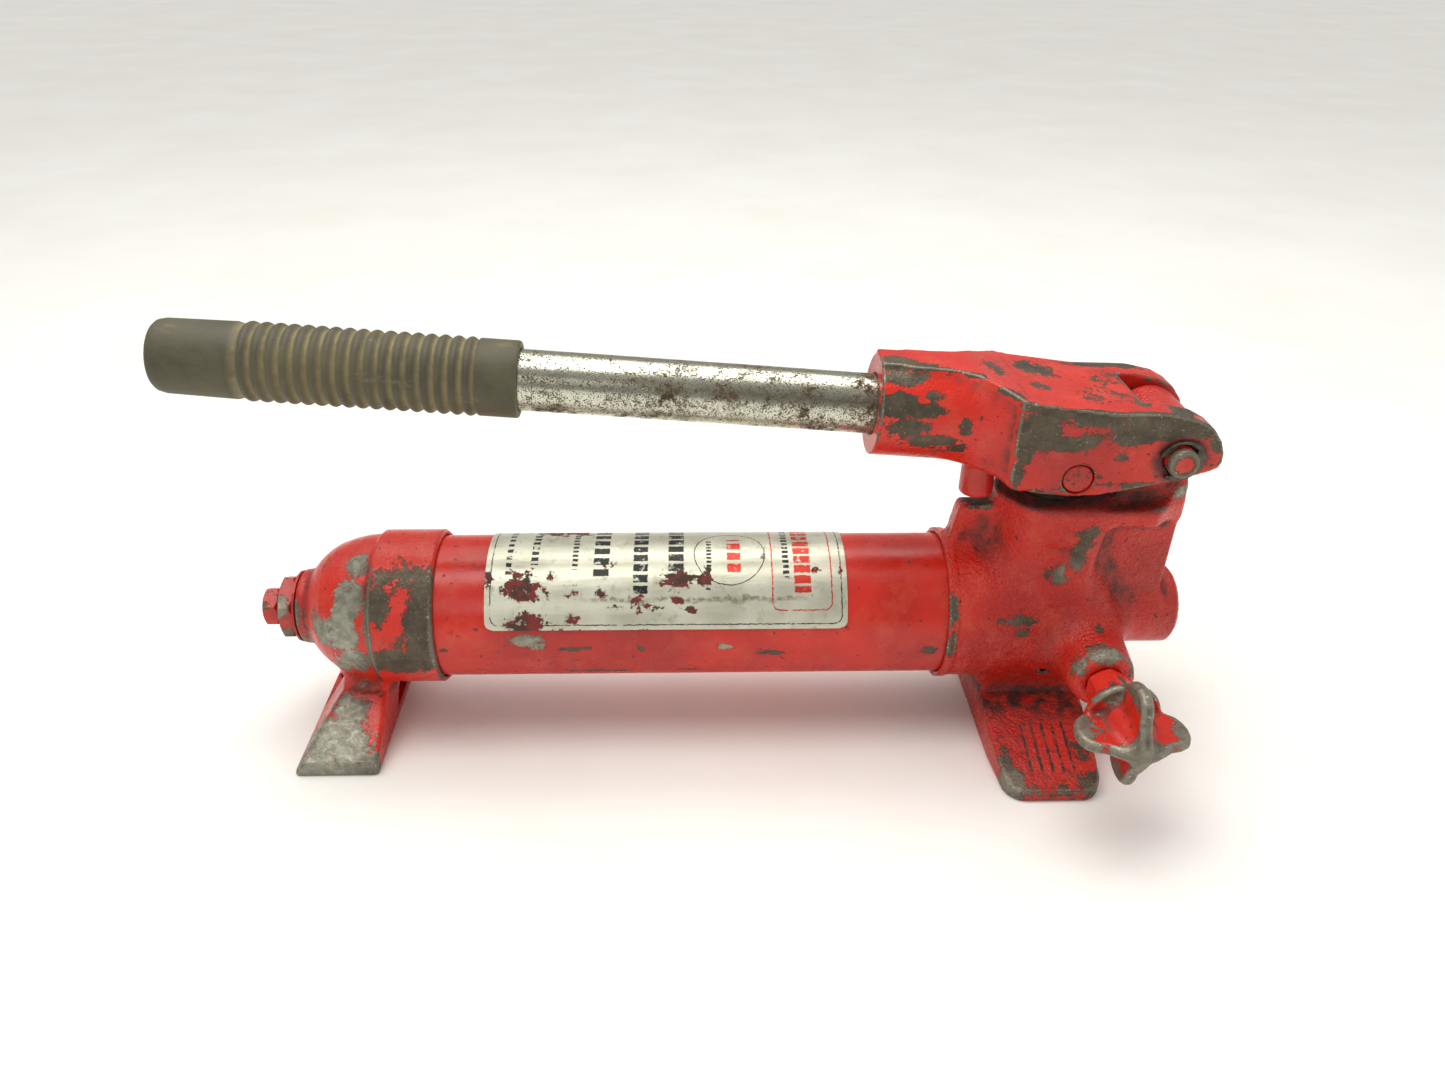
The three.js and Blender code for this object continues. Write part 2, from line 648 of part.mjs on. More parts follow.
function releaseStem() {
  const stemTipY = releaseBallY - releaseBallR - GAP;
  const turnedStem = turned("y", [
    [stemTipY, 0],
    [stemTipY, 2.2],
    [stemTipY - 3, 2.6],
    [stemTipY - 3, RELEASE_BORE_R - 0.4],
    [STEM_THREAD_END_Y, RELEASE_BORE_R - 0.4],
    [STEM_THREAD_END_Y, STEM_R],
    [-86, STEM_R],
    [-86, 0],
  ], RELEASE_X, RELEASE_Z, 24);
  const pinHole = rod("x", KNOB_PIN_R + GAP, RELEASE_X - 6, RELEASE_X + 6, KNOB_PIN_Y, RELEASE_Z, 12);
  return turnedStem.subtract(pinHole);
}
addPiece(pump, "release_stem", releaseStem(), STEEL);

const stemSeal = ring("y", 6.45, STEM_R + GAP, -41.6, -38.4, RELEASE_X, RELEASE_Z, 24);
addPiece(pump, "release_stem_seal", stemSeal, SEAL);

function releaseGland() {
  const shank = rod("y", RELEASE_MOUTH_R - 0.35, -52, -42, RELEASE_X, RELEASE_Z, 28);
  const flats = hexBar("y", 14.3, -60, RELEASE_FACE_Y - GAP, RELEASE_X, RELEASE_Z);
  const hole = rod("y", STEM_R + GAP, -61, -41, RELEASE_X, RELEASE_Z, 24);
  return shank.add(flats).subtract(hole);
}
addPiece(pump, "release_gland_nut", releaseGland(), RED);

// One pair of opposite wings, as an outline of [across, along the stem].
function wingOutline() {
  const wing = new THREE.Shape();
  wing.moveTo(-5, KNOB_FRONT_Y);
  wing.lineTo(5, KNOB_FRONT_Y);
  wing.bezierCurveTo(10, KNOB_FRONT_Y + 3, 12, KNOB_FRONT_Y + 4.5, 16, KNOB_FRONT_Y + 5);
  wing.bezierCurveTo(22, KNOB_FRONT_Y + 7, 22, KNOB_FRONT_Y + 19, 16, KNOB_FRONT_Y + 22);
  wing.lineTo(8, KNOB_FRONT_Y + 25);
  wing.lineTo(-8, KNOB_FRONT_Y + 25);
  wing.lineTo(-16, KNOB_FRONT_Y + 22);
  wing.bezierCurveTo(-22, KNOB_FRONT_Y + 19, -22, KNOB_FRONT_Y + 7, -16, KNOB_FRONT_Y + 5);
  wing.bezierCurveTo(-12, KNOB_FRONT_Y + 4.5, -10, KNOB_FRONT_Y + 3, -5, KNOB_FRONT_Y);
  return wing;
}

function releaseKnob() {
  const thick = 2 * WING_HALF_THICK;
  const flat = new THREE.ExtrudeGeometry(wingOutline(), {
    depth: thick,
    bevelEnabled: false,
    curveSegments: 4,
  });
  flat.translate(0, 0, -WING_HALF_THICK);
  const upright = flat.clone();
  upright.rotateY(Math.PI / 2);
  const hub = turned("y", [
    [KNOB_REAR_Y, 0],
    [KNOB_REAR_Y, 6.6],
    [-67, 6.6],
    [-68, 9],
    [-80, 7.5],
    [-89, 5],
    [-89, 0],
  ], 0, 0, 24);
  const rearWeb = rod("y", WING_TIP_R - 6.5, -69.5, -66.5, 0, 0, 32);
  const stemHole = rod("y", STEM_R + GAP, -86.4, KNOB_REAR_Y + 1, 0, 0, 24);
  const pinHole = rod("x", KNOB_PIN_R + GAP, -8, 8, KNOB_PIN_Y, 0, 12);
  return hub
    .add(solidOf(flat))
    .add(solidOf(upright))
    .add(rearWeb)
    .subtract(stemHole)
    .subtract(pinHole);
}
const knob = addPiece(pump, "release_knob", releaseKnob(), ZINC);
knob.position.set(RELEASE_X, 0, RELEASE_Z);

const knobPin = rod("x", KNOB_PIN_R, -6.4, 6.4, 0, 0, 12);
const knobPinMesh = addPiece(pump, "release_knob_pin", knobPin, STEEL);
knobPinMesh.position.set(RELEASE_X, KNOB_PIN_Y, RELEASE_Z);

// ---------------------------------------------------------------- lever yoke
function slantedAlongHandle(solid) {
  const geometry = geometryOf(solid);
  geometry.rotateY(HANDLE_SLOPE);
  geometry.translate(HANDLE_PIVOT_X, 0, HANDLE_PIVOT_Z);
  return solidOf(geometry);
}

function alongHandle(x) {
  return (x - HANDLE_PIVOT_X) / Math.cos(HANDLE_SLOPE);
}

function yokeHead() {
  const side = new THREE.Shape();
  side.moveTo(-24.8, 116);
  side.quadraticCurveTo(0, 108.8, 20.1, 114.8);
  side.lineTo(39.8, 119.6);
  side.lineTo(48.4, 122.4);
  side.quadraticCurveTo(51.8, 124, 51.3, 128);
  side.quadraticCurveTo(50, 139.5, 39.5, 142);
  side.lineTo(28.3, 144.6);
  side.lineTo(7, 145.2);
  side.lineTo(-21.5, 149);
  side.lineTo(-23.5, 130);
  return sideSlab(side, -YOKE_HALF, YOKE_HALF);
}

function yokeNeck() {
  const halves = [[-52, 7.5], [-45, 8.2], [-38, 11.5], [-31, 17], [-26, 22], [-21, YOKE_HALF]];
  const near = halves.map(([x, half]) => [x, -half]);
  const far = halves.map(([x, half]) => [x, half]).reverse();
  const plan = planSlab(outlineOf([...near, ...far]), 112, 160);
  const side = outlineOf([
    [-52, 130],
    [-36, 119],
    [-21, 115],
    [-21, 149],
    [-40, 155.2],
    [-52, 156.2],
  ]);
  return plan.intersect(sideSlab(side, -YOKE_HALF - 1, YOKE_HALF + 1));
}

function yokeSolid() {
  const socketEnd = alongHandle(-73.3);
  const socketRoot = alongHandle(-20);
  const socket = slantedAlongHandle(rod("x", SOCKET_R, socketEnd, socketRoot, 0, 0, 36));
  const ridge = slantedAlongHandle(block(socketEnd, alongHandle(-40), -7.5, 7.5, 10, SOCKET_R));
  const peg = rod("z", PEG_R, PEG_BOTTOM_Z, 125, PEG_X, 0, 20);
  const slot = sideSlab(outlineOf([
    [-19, 90],
    [60, 90],
    [60, 165],
    [22, 165],
    [22, 138.5],
    [-17, 138.5],
    [-19, 136.5],
  ]), -SLOT_HALF, SLOT_HALF);
  const lugRoom = rod("y", LUG_R + 0.9, -SLOT_HALF, SLOT_HALF, FULCRUM_X, FULCRUM_Z, 28);
  const tubeHole = slantedAlongHandle(
    rod("x", HANDLE_HOLE_R, socketEnd - 1, alongHandle(-21.6), 0, 0, 32)
  );
  const cuts = [
    slot,
    lugRoom,
    tubeHole,
    rod("y", PIN_HOLE_R, -YOKE_HALF - 1, YOKE_HALF + 1, FULCRUM_X, FULCRUM_Z),
    rod("y", PIN_HOLE_R, -YOKE_HALF - 1, YOKE_HALF + 1, 0, PLUNGER_PIN_Z),
    rod("z", 3.35, PEG_BOTTOM_Z - 1, 128, PEG_X, 0, 20),
  ];
  const casting = yokeHead().add(socket).add(ridge).add(yokeNeck()).add(peg);
  return cuts.reduce((whole, cut) => whole.subtract(cut), casting);
}
addPiece(leverGroup, "lever_yoke", yokeSolid(), RED);

const screwTopZ = 123.3;
const setScrewBlank = rod("z", 3, PEG_BOTTOM_Z + 1.5, screwTopZ, PEG_X, 0, 20);
const setScrewKey = hexBar("z", 3, PEG_BOTTOM_Z, PEG_BOTTOM_Z + 5, PEG_X, 0);
addPiece(leverGroup, "handle_set_screw", setScrewBlank.subtract(setScrewKey), DARK_STEEL);

// ---------------------------------------------------------------- handle tube and grip
const tubeFrom = alongHandle(-326.5);
const tubeTo = alongHandle(-22);
const handleTube = turned("x", [
  [tubeFrom, HANDLE_R - HANDLE_WALL],
  [tubeFrom, HANDLE_R],
  [tubeTo, HANDLE_R],
  [tubeTo, HANDLE_R - HANDLE_WALL],
], 0, 0, 28);
addPiece(handleGroup, "handle_tube", handleTube, CHROME);

const RIB_COUNT = 17;
const RIB_PITCH = 4.8;
const RIB_R = 14.25;
const GROOVE_R = 13.1;
const GRIP_PLAIN = 30.9;
const gripEnd = alongHandle(-329.2);
const gripMouth = alongHandle(-202);

function gripSolid() {
  const outside = [
    [gripEnd, 0],
    [gripEnd, 11.2],
    [gripEnd + 1.6, 12.9],
    [gripEnd + 4, 13.4],
  ];
  for (let i = 0; i < RIB_COUNT; i += 1) {
    const start = gripEnd + GRIP_PLAIN + i * RIB_PITCH;
    outside.push([start, GROOVE_R], [start + RIB_PITCH * 0.5, RIB_R]);
  }
  outside.push([gripEnd + GRIP_PLAIN + RIB_COUNT * RIB_PITCH, GROOVE_R]);
  outside.push([gripEnd + GRIP_PLAIN + RIB_COUNT * RIB_PITCH + 0.6, 14], [gripMouth, 14]);
  const inside = [
    [gripMouth, HANDLE_HOLE_R],
    [tubeFrom - 0.4, HANDLE_HOLE_R],
    [tubeFrom - 0.4, 0],
  ];
  return turned("x", [...outside, ...inside], 0, 0, 20);
}
addPiece(handleGroup, "handle_grip", gripSolid(), RUBBER);

// ---------------------------------------------------------------- pins and retaining rings
const RING_INSIDE_Y = YOKE_HALF + GAP;
const RING_THICK = 1.1;
const PIN_HALF = 29.5;

function fulcrumPin() {
  const grooveFrom = YOKE_HALF + 0.02;
  const grooveTo = RING_INSIDE_Y + RING_THICK + GAP;
  const halfProfile = [
    [grooveFrom, PIN_R],
    [grooveFrom, PIN_R - 0.55],
    [grooveTo, PIN_R - 0.55],
    [grooveTo, PIN_R],
    [PIN_HALF - 0.8, PIN_R],
    [PIN_HALF, PIN_R - 0.8],
    [PIN_HALF, 0],
  ];
  const mirrored = halfProfile.map(([along, radius]) => [-along, radius]).reverse();
  return turned("y", [...mirrored, ...halfProfile], FULCRUM_X, FULCRUM_Z, 20);
}
addPiece(leverGroup, "fulcrum_pin", fulcrumPin(), DARK_STEEL);

const ringSides = [
  ["fulcrum_ring_front", -RING_INSIDE_Y - RING_THICK],
  ["fulcrum_ring_rear", RING_INSIDE_Y],
];
for (const [name, from] of ringSides) {
  const retaining = ring("y", 9, PIN_R - 0.25, from, from + RING_THICK, 0, 0, 20);
  const mesh = addPiece(leverGroup, name, retaining, DARK_STEEL);
  mesh.position.set(FULCRUM_X, 0, FULCRUM_Z);
}

const plungerPin = rod("y", PIN_R, -24.9, 24.9, 0, PLUNGER_PIN_Z, 20);
addPiece(leverGroup, "plunger_pin", plungerPin, DARK_STEEL);

export default pump;
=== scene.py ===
"""The looks of a worn hydraulic hand pump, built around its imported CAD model.

Shapes are worked out in millimetres and turned to metres when a mesh is made.
X runs along the reservoir, +Y to the rear, and Z is up from the ground.
"""

import math

import bpy
import numpy as np
from mathutils import Matrix, Vector


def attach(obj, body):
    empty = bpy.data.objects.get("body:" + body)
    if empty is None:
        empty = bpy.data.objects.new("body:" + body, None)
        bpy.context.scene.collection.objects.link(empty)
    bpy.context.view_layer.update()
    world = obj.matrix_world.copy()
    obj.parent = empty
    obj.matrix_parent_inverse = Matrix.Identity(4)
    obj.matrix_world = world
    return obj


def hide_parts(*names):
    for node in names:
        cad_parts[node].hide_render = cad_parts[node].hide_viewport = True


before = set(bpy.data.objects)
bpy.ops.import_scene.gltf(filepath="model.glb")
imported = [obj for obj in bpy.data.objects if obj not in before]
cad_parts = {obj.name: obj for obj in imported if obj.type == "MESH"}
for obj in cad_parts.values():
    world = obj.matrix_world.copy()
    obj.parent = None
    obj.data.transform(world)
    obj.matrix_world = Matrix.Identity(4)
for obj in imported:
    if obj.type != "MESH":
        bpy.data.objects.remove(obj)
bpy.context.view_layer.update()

MM = 0.001

# ------------------------------------------------------------------ sizes, in millimetres
TUBE_Z = 49.0
TUBE_R = 28.575
SEAT_R = 28.925
HEAD_LEFT_X = -40.5
HEAD_FACE_X = -30.5
BARREL_R = 30.3
TOWER_R = 21.5
TOWER_TOP_Z = 103.5
WEB_HALF = 12.7
LUG_R = 13.3
LUG_RIGHT_X = 47.2
TABLE_HALF = 22.0
FULCRUM = (35.5, 127.0)
PIN_R = 5.55
PIN_HOLE_R = 5.9
PLUNGER_PIN_Z = 119.0
OUTLET_Z = 48.0
OUTLET_END_X = 57.0
RELEASE = (16.0, 45.0)
RELEASE_FACE_Y = -50.0
SUCTION_Z = 33.0
RELIEF = (2.0, 32.0)
TIE_HOLE_R = 5.35
CAP_RIGHT_X = -239.6
CAP_END_X = -297.3
YOKE_HALF = 25.0
SLOT_HALF = 13.5
SOCKET_R = 18.7
HANDLE_R = 11.11
HANDLE_PIVOT = (-77.6, 138.5)
HANDLE_SLOPE = 0.0743
PEG_X = -29.6
KNOB_FRONT_Y = -91.5


# ------------------------------------------------------------------ distance fields
# A field takes x, y and z arrays and returns the signed distance, negative inside.
def pick(axis, x, y, z):
    """The coordinate along the axis, then the other two in X, Y, Z order."""
    if axis == "x":
        return x, y, z
    if axis == "y":
        return y, x, z
    return z, x, y


def outline_distance(a, b, outline):
    """The signed distance of the points (a, b) from a closed outline."""
    points = np.asarray(outline, dtype=np.float32)
    best = None
    inside = None
    for start, end in zip(points, np.roll(points, -1, axis=0)):
        run, rise = end - start
        length = run * run + rise * rise
        if length < 1e-9:
            continue
        from_a = a - start[0]
        from_b = b - start[1]
        t = np.clip((from_a * run + from_b * rise) / length, 0.0, 1.0)
        near = (from_a - run * t) ** 2 + (from_b - rise * t) ** 2
        best = near if best is None else np.minimum(best, near)
        below = (b >= start[1]) & (b < end[1]) & (run * from_b > rise * from_a)
        above = (b < start[1]) & (b >= end[1]) & (run * from_b < rise * from_a)
        flip = below | above
        inside = flip if inside is None else inside ^ flip
    return np.where(inside, -1.0, 1.0) * np.sqrt(best)


def shrunk(outline, amount):
    """The outline with every edge moved inwards, its corners kept as mitres."""
    points = np.asarray(outline, dtype=float)
    after = np.roll(points, -1, axis=0)
    area = np.sum(points[:, 0] * after[:, 1] - after[:, 0] * points[:, 1])
    edges = after - points
    lengths = np.linalg.norm(edges, axis=1, keepdims=True)
    turn = 1.0 if area > 0 else -1.0
    inward = np.stack([-edges[:, 1], edges[:, 0]], axis=1) / lengths * turn
    before = np.roll(inward, 1, axis=0)
    scale = amount / (1.0 + np.sum(before * inward, axis=1, keepdims=True))
    return points + (before + inward) * scale


def rounded_sides(flat, depth, edge):
    """The distance of a prism from its outline's distance and its depth, its rims rounded by edge."""
    outside = np.hypot(np.maximum(flat, 0.0), np.maximum(depth, 0.0))
    return outside + np.minimum(np.maximum(flat, depth), 0.0) - edge


def prism(axis, outline, start, stop, edge=0.0):
    """An outline of the two other coordinates, pulled from start to stop along the axis."""
    middle = (start + stop) / 2
    half = (stop - start) / 2
    inner = shrunk(outline, edge) if edge else outline

    def field(x, y, z):
        along, a, b = pick(axis, x, y, z)
        flat = outline_distance(a, b, inner)
        return rounded_sides(flat, np.abs(along - middle) - half + edge, edge)
    return field


def rod(axis, radius, start, stop, first=0.0, second=0.0, edge=0.0):
    middle = (start + stop) / 2
    half = (stop - start) / 2

    def field(x, y, z):
        along, a, b = pick(axis, x, y, z)
        flat = np.hypot(a - first, b - second) - radius + edge
        return rounded_sides(flat, np.abs(along - middle) - half + edge, edge)
    return field


def turned(axis, profile, first=0.0, second=0.0):
    """A body of revolution from [along, radius] points that start and end on the axis."""
    whole = profile + [(along, -radius) for along, radius in reversed(profile[1:-1])]

    def field(x, y, z):
        along, a, b = pick(axis, x, y, z)
        return outline_distance(along, np.hypot(a - first, b - second), whole)
    return field


def box(x0, x1, y0, y1, z0, z1, edge=0.0):
    return prism("z", [(x0, y0), (x1, y0), (x1, y1), (x0, y1)], z0, z1, edge)


def smallest(a, b, soft):
    """The lesser of the two, blended where they differ by less than soft."""
    if soft <= 0:
        return np.minimum(a, b)
    h = np.maximum(soft - np.abs(a - b), 0.0) / soft
    return np.minimum(a, b) - h * h * soft * 0.25


def joined(first, second, soft=0.0):
    return lambda x, y, z: smallest(first(x, y, z), second(x, y, z), soft)


def common(first, second, soft=0.0):
    return lambda x, y, z: -smallest(-first(x, y, z), -second(x, y, z), soft)


def cut(first, second, soft=0.0):
    return lambda x, y, z: -smallest(-first(x, y, z), second(x, y, z), soft)


def along_handle(field):
    """The field as it lies in the handle's own frame, sloped about the handle's pivot."""
    c, s = math.cos(HANDLE_SLOPE), math.sin(HANDLE_SLOPE)

    def sloped(x, y, z):
        dx, dz = x - HANDLE_PIVOT[0], z - HANDLE_PIVOT[1]
        return field(c * dx - s * dz, y, s * dx + c * dz)
    return sloped


def on_handle(x):
    """How far along the handle's own axis the part's x lies."""
    return (x - HANDLE_PIVOT[0]) / math.cos(HANDLE_SLOPE)


# ------------------------------------------------------------------ fields to meshes
CORNERS = [(i, j, k) for i in (0, 1) for j in (0, 1) for k in (0, 1)]
EDGES = [(a, b) for a in range(8) for b in range(a + 1, 8)
         if sum(p != q for p, q in zip(CORNERS[a], CORNERS[b])) == 1]


def surface_net(values):
    """One vertex in each grid cell that the surface crosses, and a quad on each crossed edge."""
    cells = tuple(n - 1 for n in values.shape)
    signs = values < 0
    corner = [signs[i:i + cells[0], j:j + cells[1], k:k + cells[2]] for i, j, k in CORNERS]
    count = sum(c.astype(np.int8) for c in corner)
    at = np.argwhere((count > 0) & (count < 8))
    number = np.full(cells, -1, dtype=np.int64)
    number[tuple(at.T)] = np.arange(len(at))
    level = [values[at[:, 0] + i, at[:, 1] + j, at[:, 2] + k] for i, j, k in CORNERS]
    total = np.zeros((len(at), 3))
    crossings = np.zeros((len(at), 1))
    for a, b in EDGES:
        crossed = (level[a] < 0) != (level[b] < 0)
        share = np.where(crossed, level[a] / np.where(crossed, level[a] - level[b], 1.0), 0.0)
        start = np.array(CORNERS[a], dtype=float)
        span = np.array(CORNERS[b], dtype=float) - start
        total += (start + share[:, None] * span) * crossed[:, None]
        crossings += crossed[:, None]
    vertices = at + total / crossings
    quads = []
    for axis in range(3):
        u, v = [d for d in range(3) if d != axis]
        if axis == 1:
            u, v = v, u
        low = [slice(None)] * 3
        high = [slice(None)] * 3
        low[axis], high[axis] = slice(0, -1), slice(1, None)
        edge = np.argwhere(signs[tuple(low)] != signs[tuple(high)])
        keep = (edge[:, u] > 0) & (edge[:, v] > 0)
        keep &= (edge[:, u] < cells[u]) & (edge[:, v] < cells[v])
        edge = edge[keep]
        ring = []
        for du, dv in ((1, 1), (0, 1), (0, 0), (1, 0)):
            cell = edge.copy()
            cell[:, u] -= du
            cell[:, v] -= dv
            ring.append(number[tuple(cell.T)])
        ring = np.stack(ring, axis=1)
        starts_inside = signs[tuple(edge.T)]
        quads.append(np.where(starts_inside[:, None], ring, ring[:, ::-1]))
    return vertices, np.concatenate(quads)


def slopes(field, points, reach):
    """The field's gradient at the points."""
    x, y, z = points.T
    gradient = np.empty_like(points)
    gradient[:, 0] = field(x + reach, y, z) - field(x - reach, y, z)
    gradient[:, 1] = field(x, y + reach, z) - field(x, y - reach, z)
    gradient[:, 2] = field(x, y, z + reach) - field(x, y, z - reach)
    return gradient / (2 * reach)


def bend(field, points, reach):
    """How much the surface bends: positive on outer edges, negative in corners."""
    x, y, z = points.T
    around = -6 * field(x, y, z)
    for d in (reach, -reach):
        around += field(x + d, y, z) + field(x, y + d, z) + field(x, y, z + d)
    return around / reach ** 2


def sculpted(field, low, high, step):
    """The field's surface between two corners, as points moved onto it and quads."""
    axes = [np.arange(a - 2 * step, b + 3 * step, step, dtype=np.float32) for a, b in zip(low, high)]
    values = field(axes[0][:, None, None], axes[1][None, :, None], axes[2][None, None, :])
    vertices, quads = surface_net(np.asarray(values, dtype=np.float32))
    points = vertices * step + [a[0] for a in axes]
    for _ in range(3):
        gradient = slopes(field, points, 0.25 * step)
        size = np.maximum(np.sum(gradient ** 2, axis=1), 0.2)
        move = -field(*points.T) / size
        move = np.clip(move, -0.5 * step, 0.5 * step)
        points += gradient * move[:, None]
    return points, quads


# ------------------------------------------------------------------ meshes to pieces
def patch_strength(points, patches):
    """1 in the middle of a worn patch, falling to 0 at its edge. A patch is (centre, radii, strength)."""
    strength = np.zeros(len(points))
    for centre, radii, most in patches:
        reach = np.linalg.norm((points - np.array(centre)) / np.array(radii), axis=1)
        strength = np.maximum(strength, most * np.clip(1.6 - 1.2 * reach, 0.0, 1.0))
    return strength


def add_piece(name, points, faces, body, material, replaces, marks, crease=None):
    """Makes a mesh from points in millimetres, and rides it on its body in place of CAD nodes."""
    mesh = bpy.data.meshes.new(name)
    faces = np.asarray(faces)
    corners = faces.shape[1]
    mesh.vertices.add(len(points))
    mesh.vertices.foreach_set("co", (np.asarray(points) * MM).astype(np.float32).ravel())
    mesh.loops.add(faces.size)
    mesh.loops.foreach_set("vertex_index", faces.astype(np.int32).ravel())
    mesh.polygons.add(len(faces))
    mesh.polygons.foreach_set("loop_start", np.arange(0, faces.size, corners, dtype=np.int32))
    mesh.update(calc_edges=True)
    mesh.validate()
    mesh.shade_smooth()
    if crease:
        mesh.set_sharp_from_angle(angle=math.radians(crease))
    for mark, values in marks.items():
        layer = mesh.attributes.new(mark, "FLOAT", "POINT")
        layer.data.foreach_set("value", np.asarray(values, dtype=np.float32))
    piece = bpy.data.objects.new(name, mesh)
    bpy.context.scene.collection.objects.link(piece)
    mesh.materials.append(material)
    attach(piece, body)
    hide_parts(*replaces)
    return piece


def cast_piece(name, field, low, high, step, body, material, replaces, worn=(), bright=()):
    """A cast part: its field as a mesh, with its edges, corners and worn patches marked."""
    points, quads = sculpted(field, low, high, step)
    marks = {
        "edge": np.clip((bend(field, points, 1.1) - 0.10) / 0.45, 0.0, 1.0),
        "corner": np.clip((-bend(field, points, 3.0) - 0.02) / 0.12, 0.0, 1.0),
        "worn": patch_strength(points, worn),
        "bright": patch_strength(points, bright),
    }
    return add_piece(name, points, quads, body, material, replaces, marks)


def spun(name, axis, rings, body, slot, material, replaces, first=0.0, second=0.0,
         sides=96, flats=0.0, worn=(), bright=(), crease=28, turn=0.0):
    """A turned part from rings of (along, radius, is_hex, edge wear), closed into a loop.

    A ring that is_hex is the smaller of its radius and the hexagon of that size across flats.
    """
    angles = (np.arange(sides) / sides) * 2 * math.pi
    sector = (angles + turn) % (math.pi / 3) - math.pi / 6
    hexagon = flats / 2 / np.cos(sector)
    points, edge = [], []
    for along, radius, is_hex, wear in rings:
        reach = np.minimum(radius, hexagon) if is_hex else np.full(sides, radius)
        a = first + reach * np.cos(angles)
        b = second + reach * np.sin(angles)
        level = np.full(sides, along)
        order = {"x": (level, a, b), "y": (a, level, b), "z": (a, b, level)}[axis]
        points.append(np.stack(order, axis=1))
        corner_wear = 0.6 * np.clip(np.abs(sector) * 12 - 5.2, 0.0, 1.0) if is_hex else 0.0
        edge.append(np.clip(wear + corner_wear, 0.0, 1.0) * np.ones(sides))
    here = np.arange(len(rings) * sides).reshape(-1, sides)
    there = np.roll(here, -1, axis=0)
    faces = np.stack([here, np.roll(here, -1, axis=1), np.roll(there, -1, axis=1), there], axis=-1)
    faces = faces.reshape(-1, 4)
    if axis == "y":
        faces = faces[:, ::-1]
    area = sum(r[1] * s[0] - s[1] * r[0] for r, s in zip(rings, rings[1:] + rings[:1]))
    if area < 0:
        faces = faces[:, ::-1]
    points = np.concatenate(points)
    marks = {
        "edge": np.concatenate(edge),
        "corner": np.zeros(len(points)),
        "worn": patch_strength(points, worn),
        "bright": patch_strength(points, bright),
    }
    return add_piece(name, points, faces, body, material, replaces, marks, crease)


# ------------------------------------------------------------------ shader building
MIX_FACTOR, MIX_FIRST, MIX_SECOND = 0, 6, 7
MIX_COLOUR = 2


class Signal:
    """A node's output, which adds, subtracts and multiplies like a number."""

    def __init__(self, shader, socket):
        self.shader = shader
        self.socket = socket

    def __add__(self, other):
        return self.shader.math("ADD", self, other)

    def __sub__(self, other):
        return self.shader.math("SUBTRACT", self, other)

    def __mul__(self, other):
        return self.shader.math("MULTIPLY", self, other)

    def __abs__(self):
        return self.shader.math("ABSOLUTE", self)


class Shader:
    """Builds one node material, with constants set directly on the sockets that use them."""

    def __init__(self, name):
        self.material = bpy.data.materials.new(name)
        self.material.use_nodes = True
        self.tree = self.material.node_tree
        self.surface = self.tree.nodes["Principled BSDF"]
        self.place = self.add("TexCoord", "Object")

    def plug(self, socket, value):
        if isinstance(value, Signal):
            self.tree.links.new(value.socket, socket)
        else:
            socket.default_value = value

    def add(self, kind, output=0, **inputs):
        """Adds a node with these inputs and gives back one of its outputs."""
        node = self.tree.nodes.new("ShaderNode" + kind)
        for name, value in inputs.items():
            self.plug(node.inputs[name.replace("_", " ")], value)
        return Signal(self, node.outputs[output])

    def set(self, **values):
        for name, value in values.items():
            self.plug(self.surface.inputs[name.replace("_", " ")], value)

    def math(self, operation, *values, clamp=False):
        node = self.tree.nodes.new("ShaderNodeMath")
        node.operation = operation
        node.use_clamp = clamp
        for socket, value in zip(node.inputs, values):
            self.plug(socket, value)
        return Signal(self, node.outputs[0])

    def most(self, first, *others):
        for other in others:
            first = self.math("MAXIMUM", first, other)
        return first

    def reach(self, first, second):
        """The length of the vector (first, second)."""
        return self.math("SQRT", first * first + second * second)

    def noise(self, scale, detail=4.0, roughness=0.55, distortion=0.0, place=None):
        return self.add("TexNoise", Vector=place or self.place, Scale=scale, Detail=detail,
                        Roughness=roughness, Distortion=distortion)

    def stretched(self, x, y, z, offset=(0.0, 0.0, 0.0)):
        return self.add("Mapping", Vector=self.place, Scale=(x, y, z), Location=offset)

    def ramp(self, value, low, high, to_low=0.0, to_high=1.0):
        """From to_low at low to to_high at high, and level beyond them."""
        return self.add("MapRange", Value=value, From_Min=low, From_Max=high, To_Min=to_low,
                        To_Max=to_high)

    def band(self, value, low, high, soft):
        """1 between low and high, with edges soft wide."""
        rises = self.ramp(value, low - soft, low + soft)
        return rises * self.ramp(value, high - soft, high + soft, 1.0, 0.0)

    def mix(self, factor, first, second):
        """The first colour where the factor is 0 and the second where it is 1."""
        node = self.tree.nodes.new("ShaderNodeMix")
        node.data_type = "RGBA"
        self.plug(node.inputs[MIX_FACTOR], factor)
        for index, colour in ((MIX_FIRST, first), (MIX_SECOND, second)):
            self.plug(node.inputs[index], colour if isinstance(colour, Signal) else (*colour, 1))
        return Signal(self, node.outputs[MIX_COLOUR])

    def attribute(self, name):
        node = self.tree.nodes.new("ShaderNodeAttribute")
        node.attribute_name = name
        return Signal(self, node.outputs["Fac"])

    def axes(self):
        node = self.tree.nodes.new("ShaderNodeSeparateXYZ")
        self.plug(node.inputs[0], self.place)
        return [Signal(self, socket) for socket in node.outputs]

    def bump(self, height, distance, strength):
        self.set(Normal=self.add("Bump", Height=height, Distance=distance, Strength=strength))


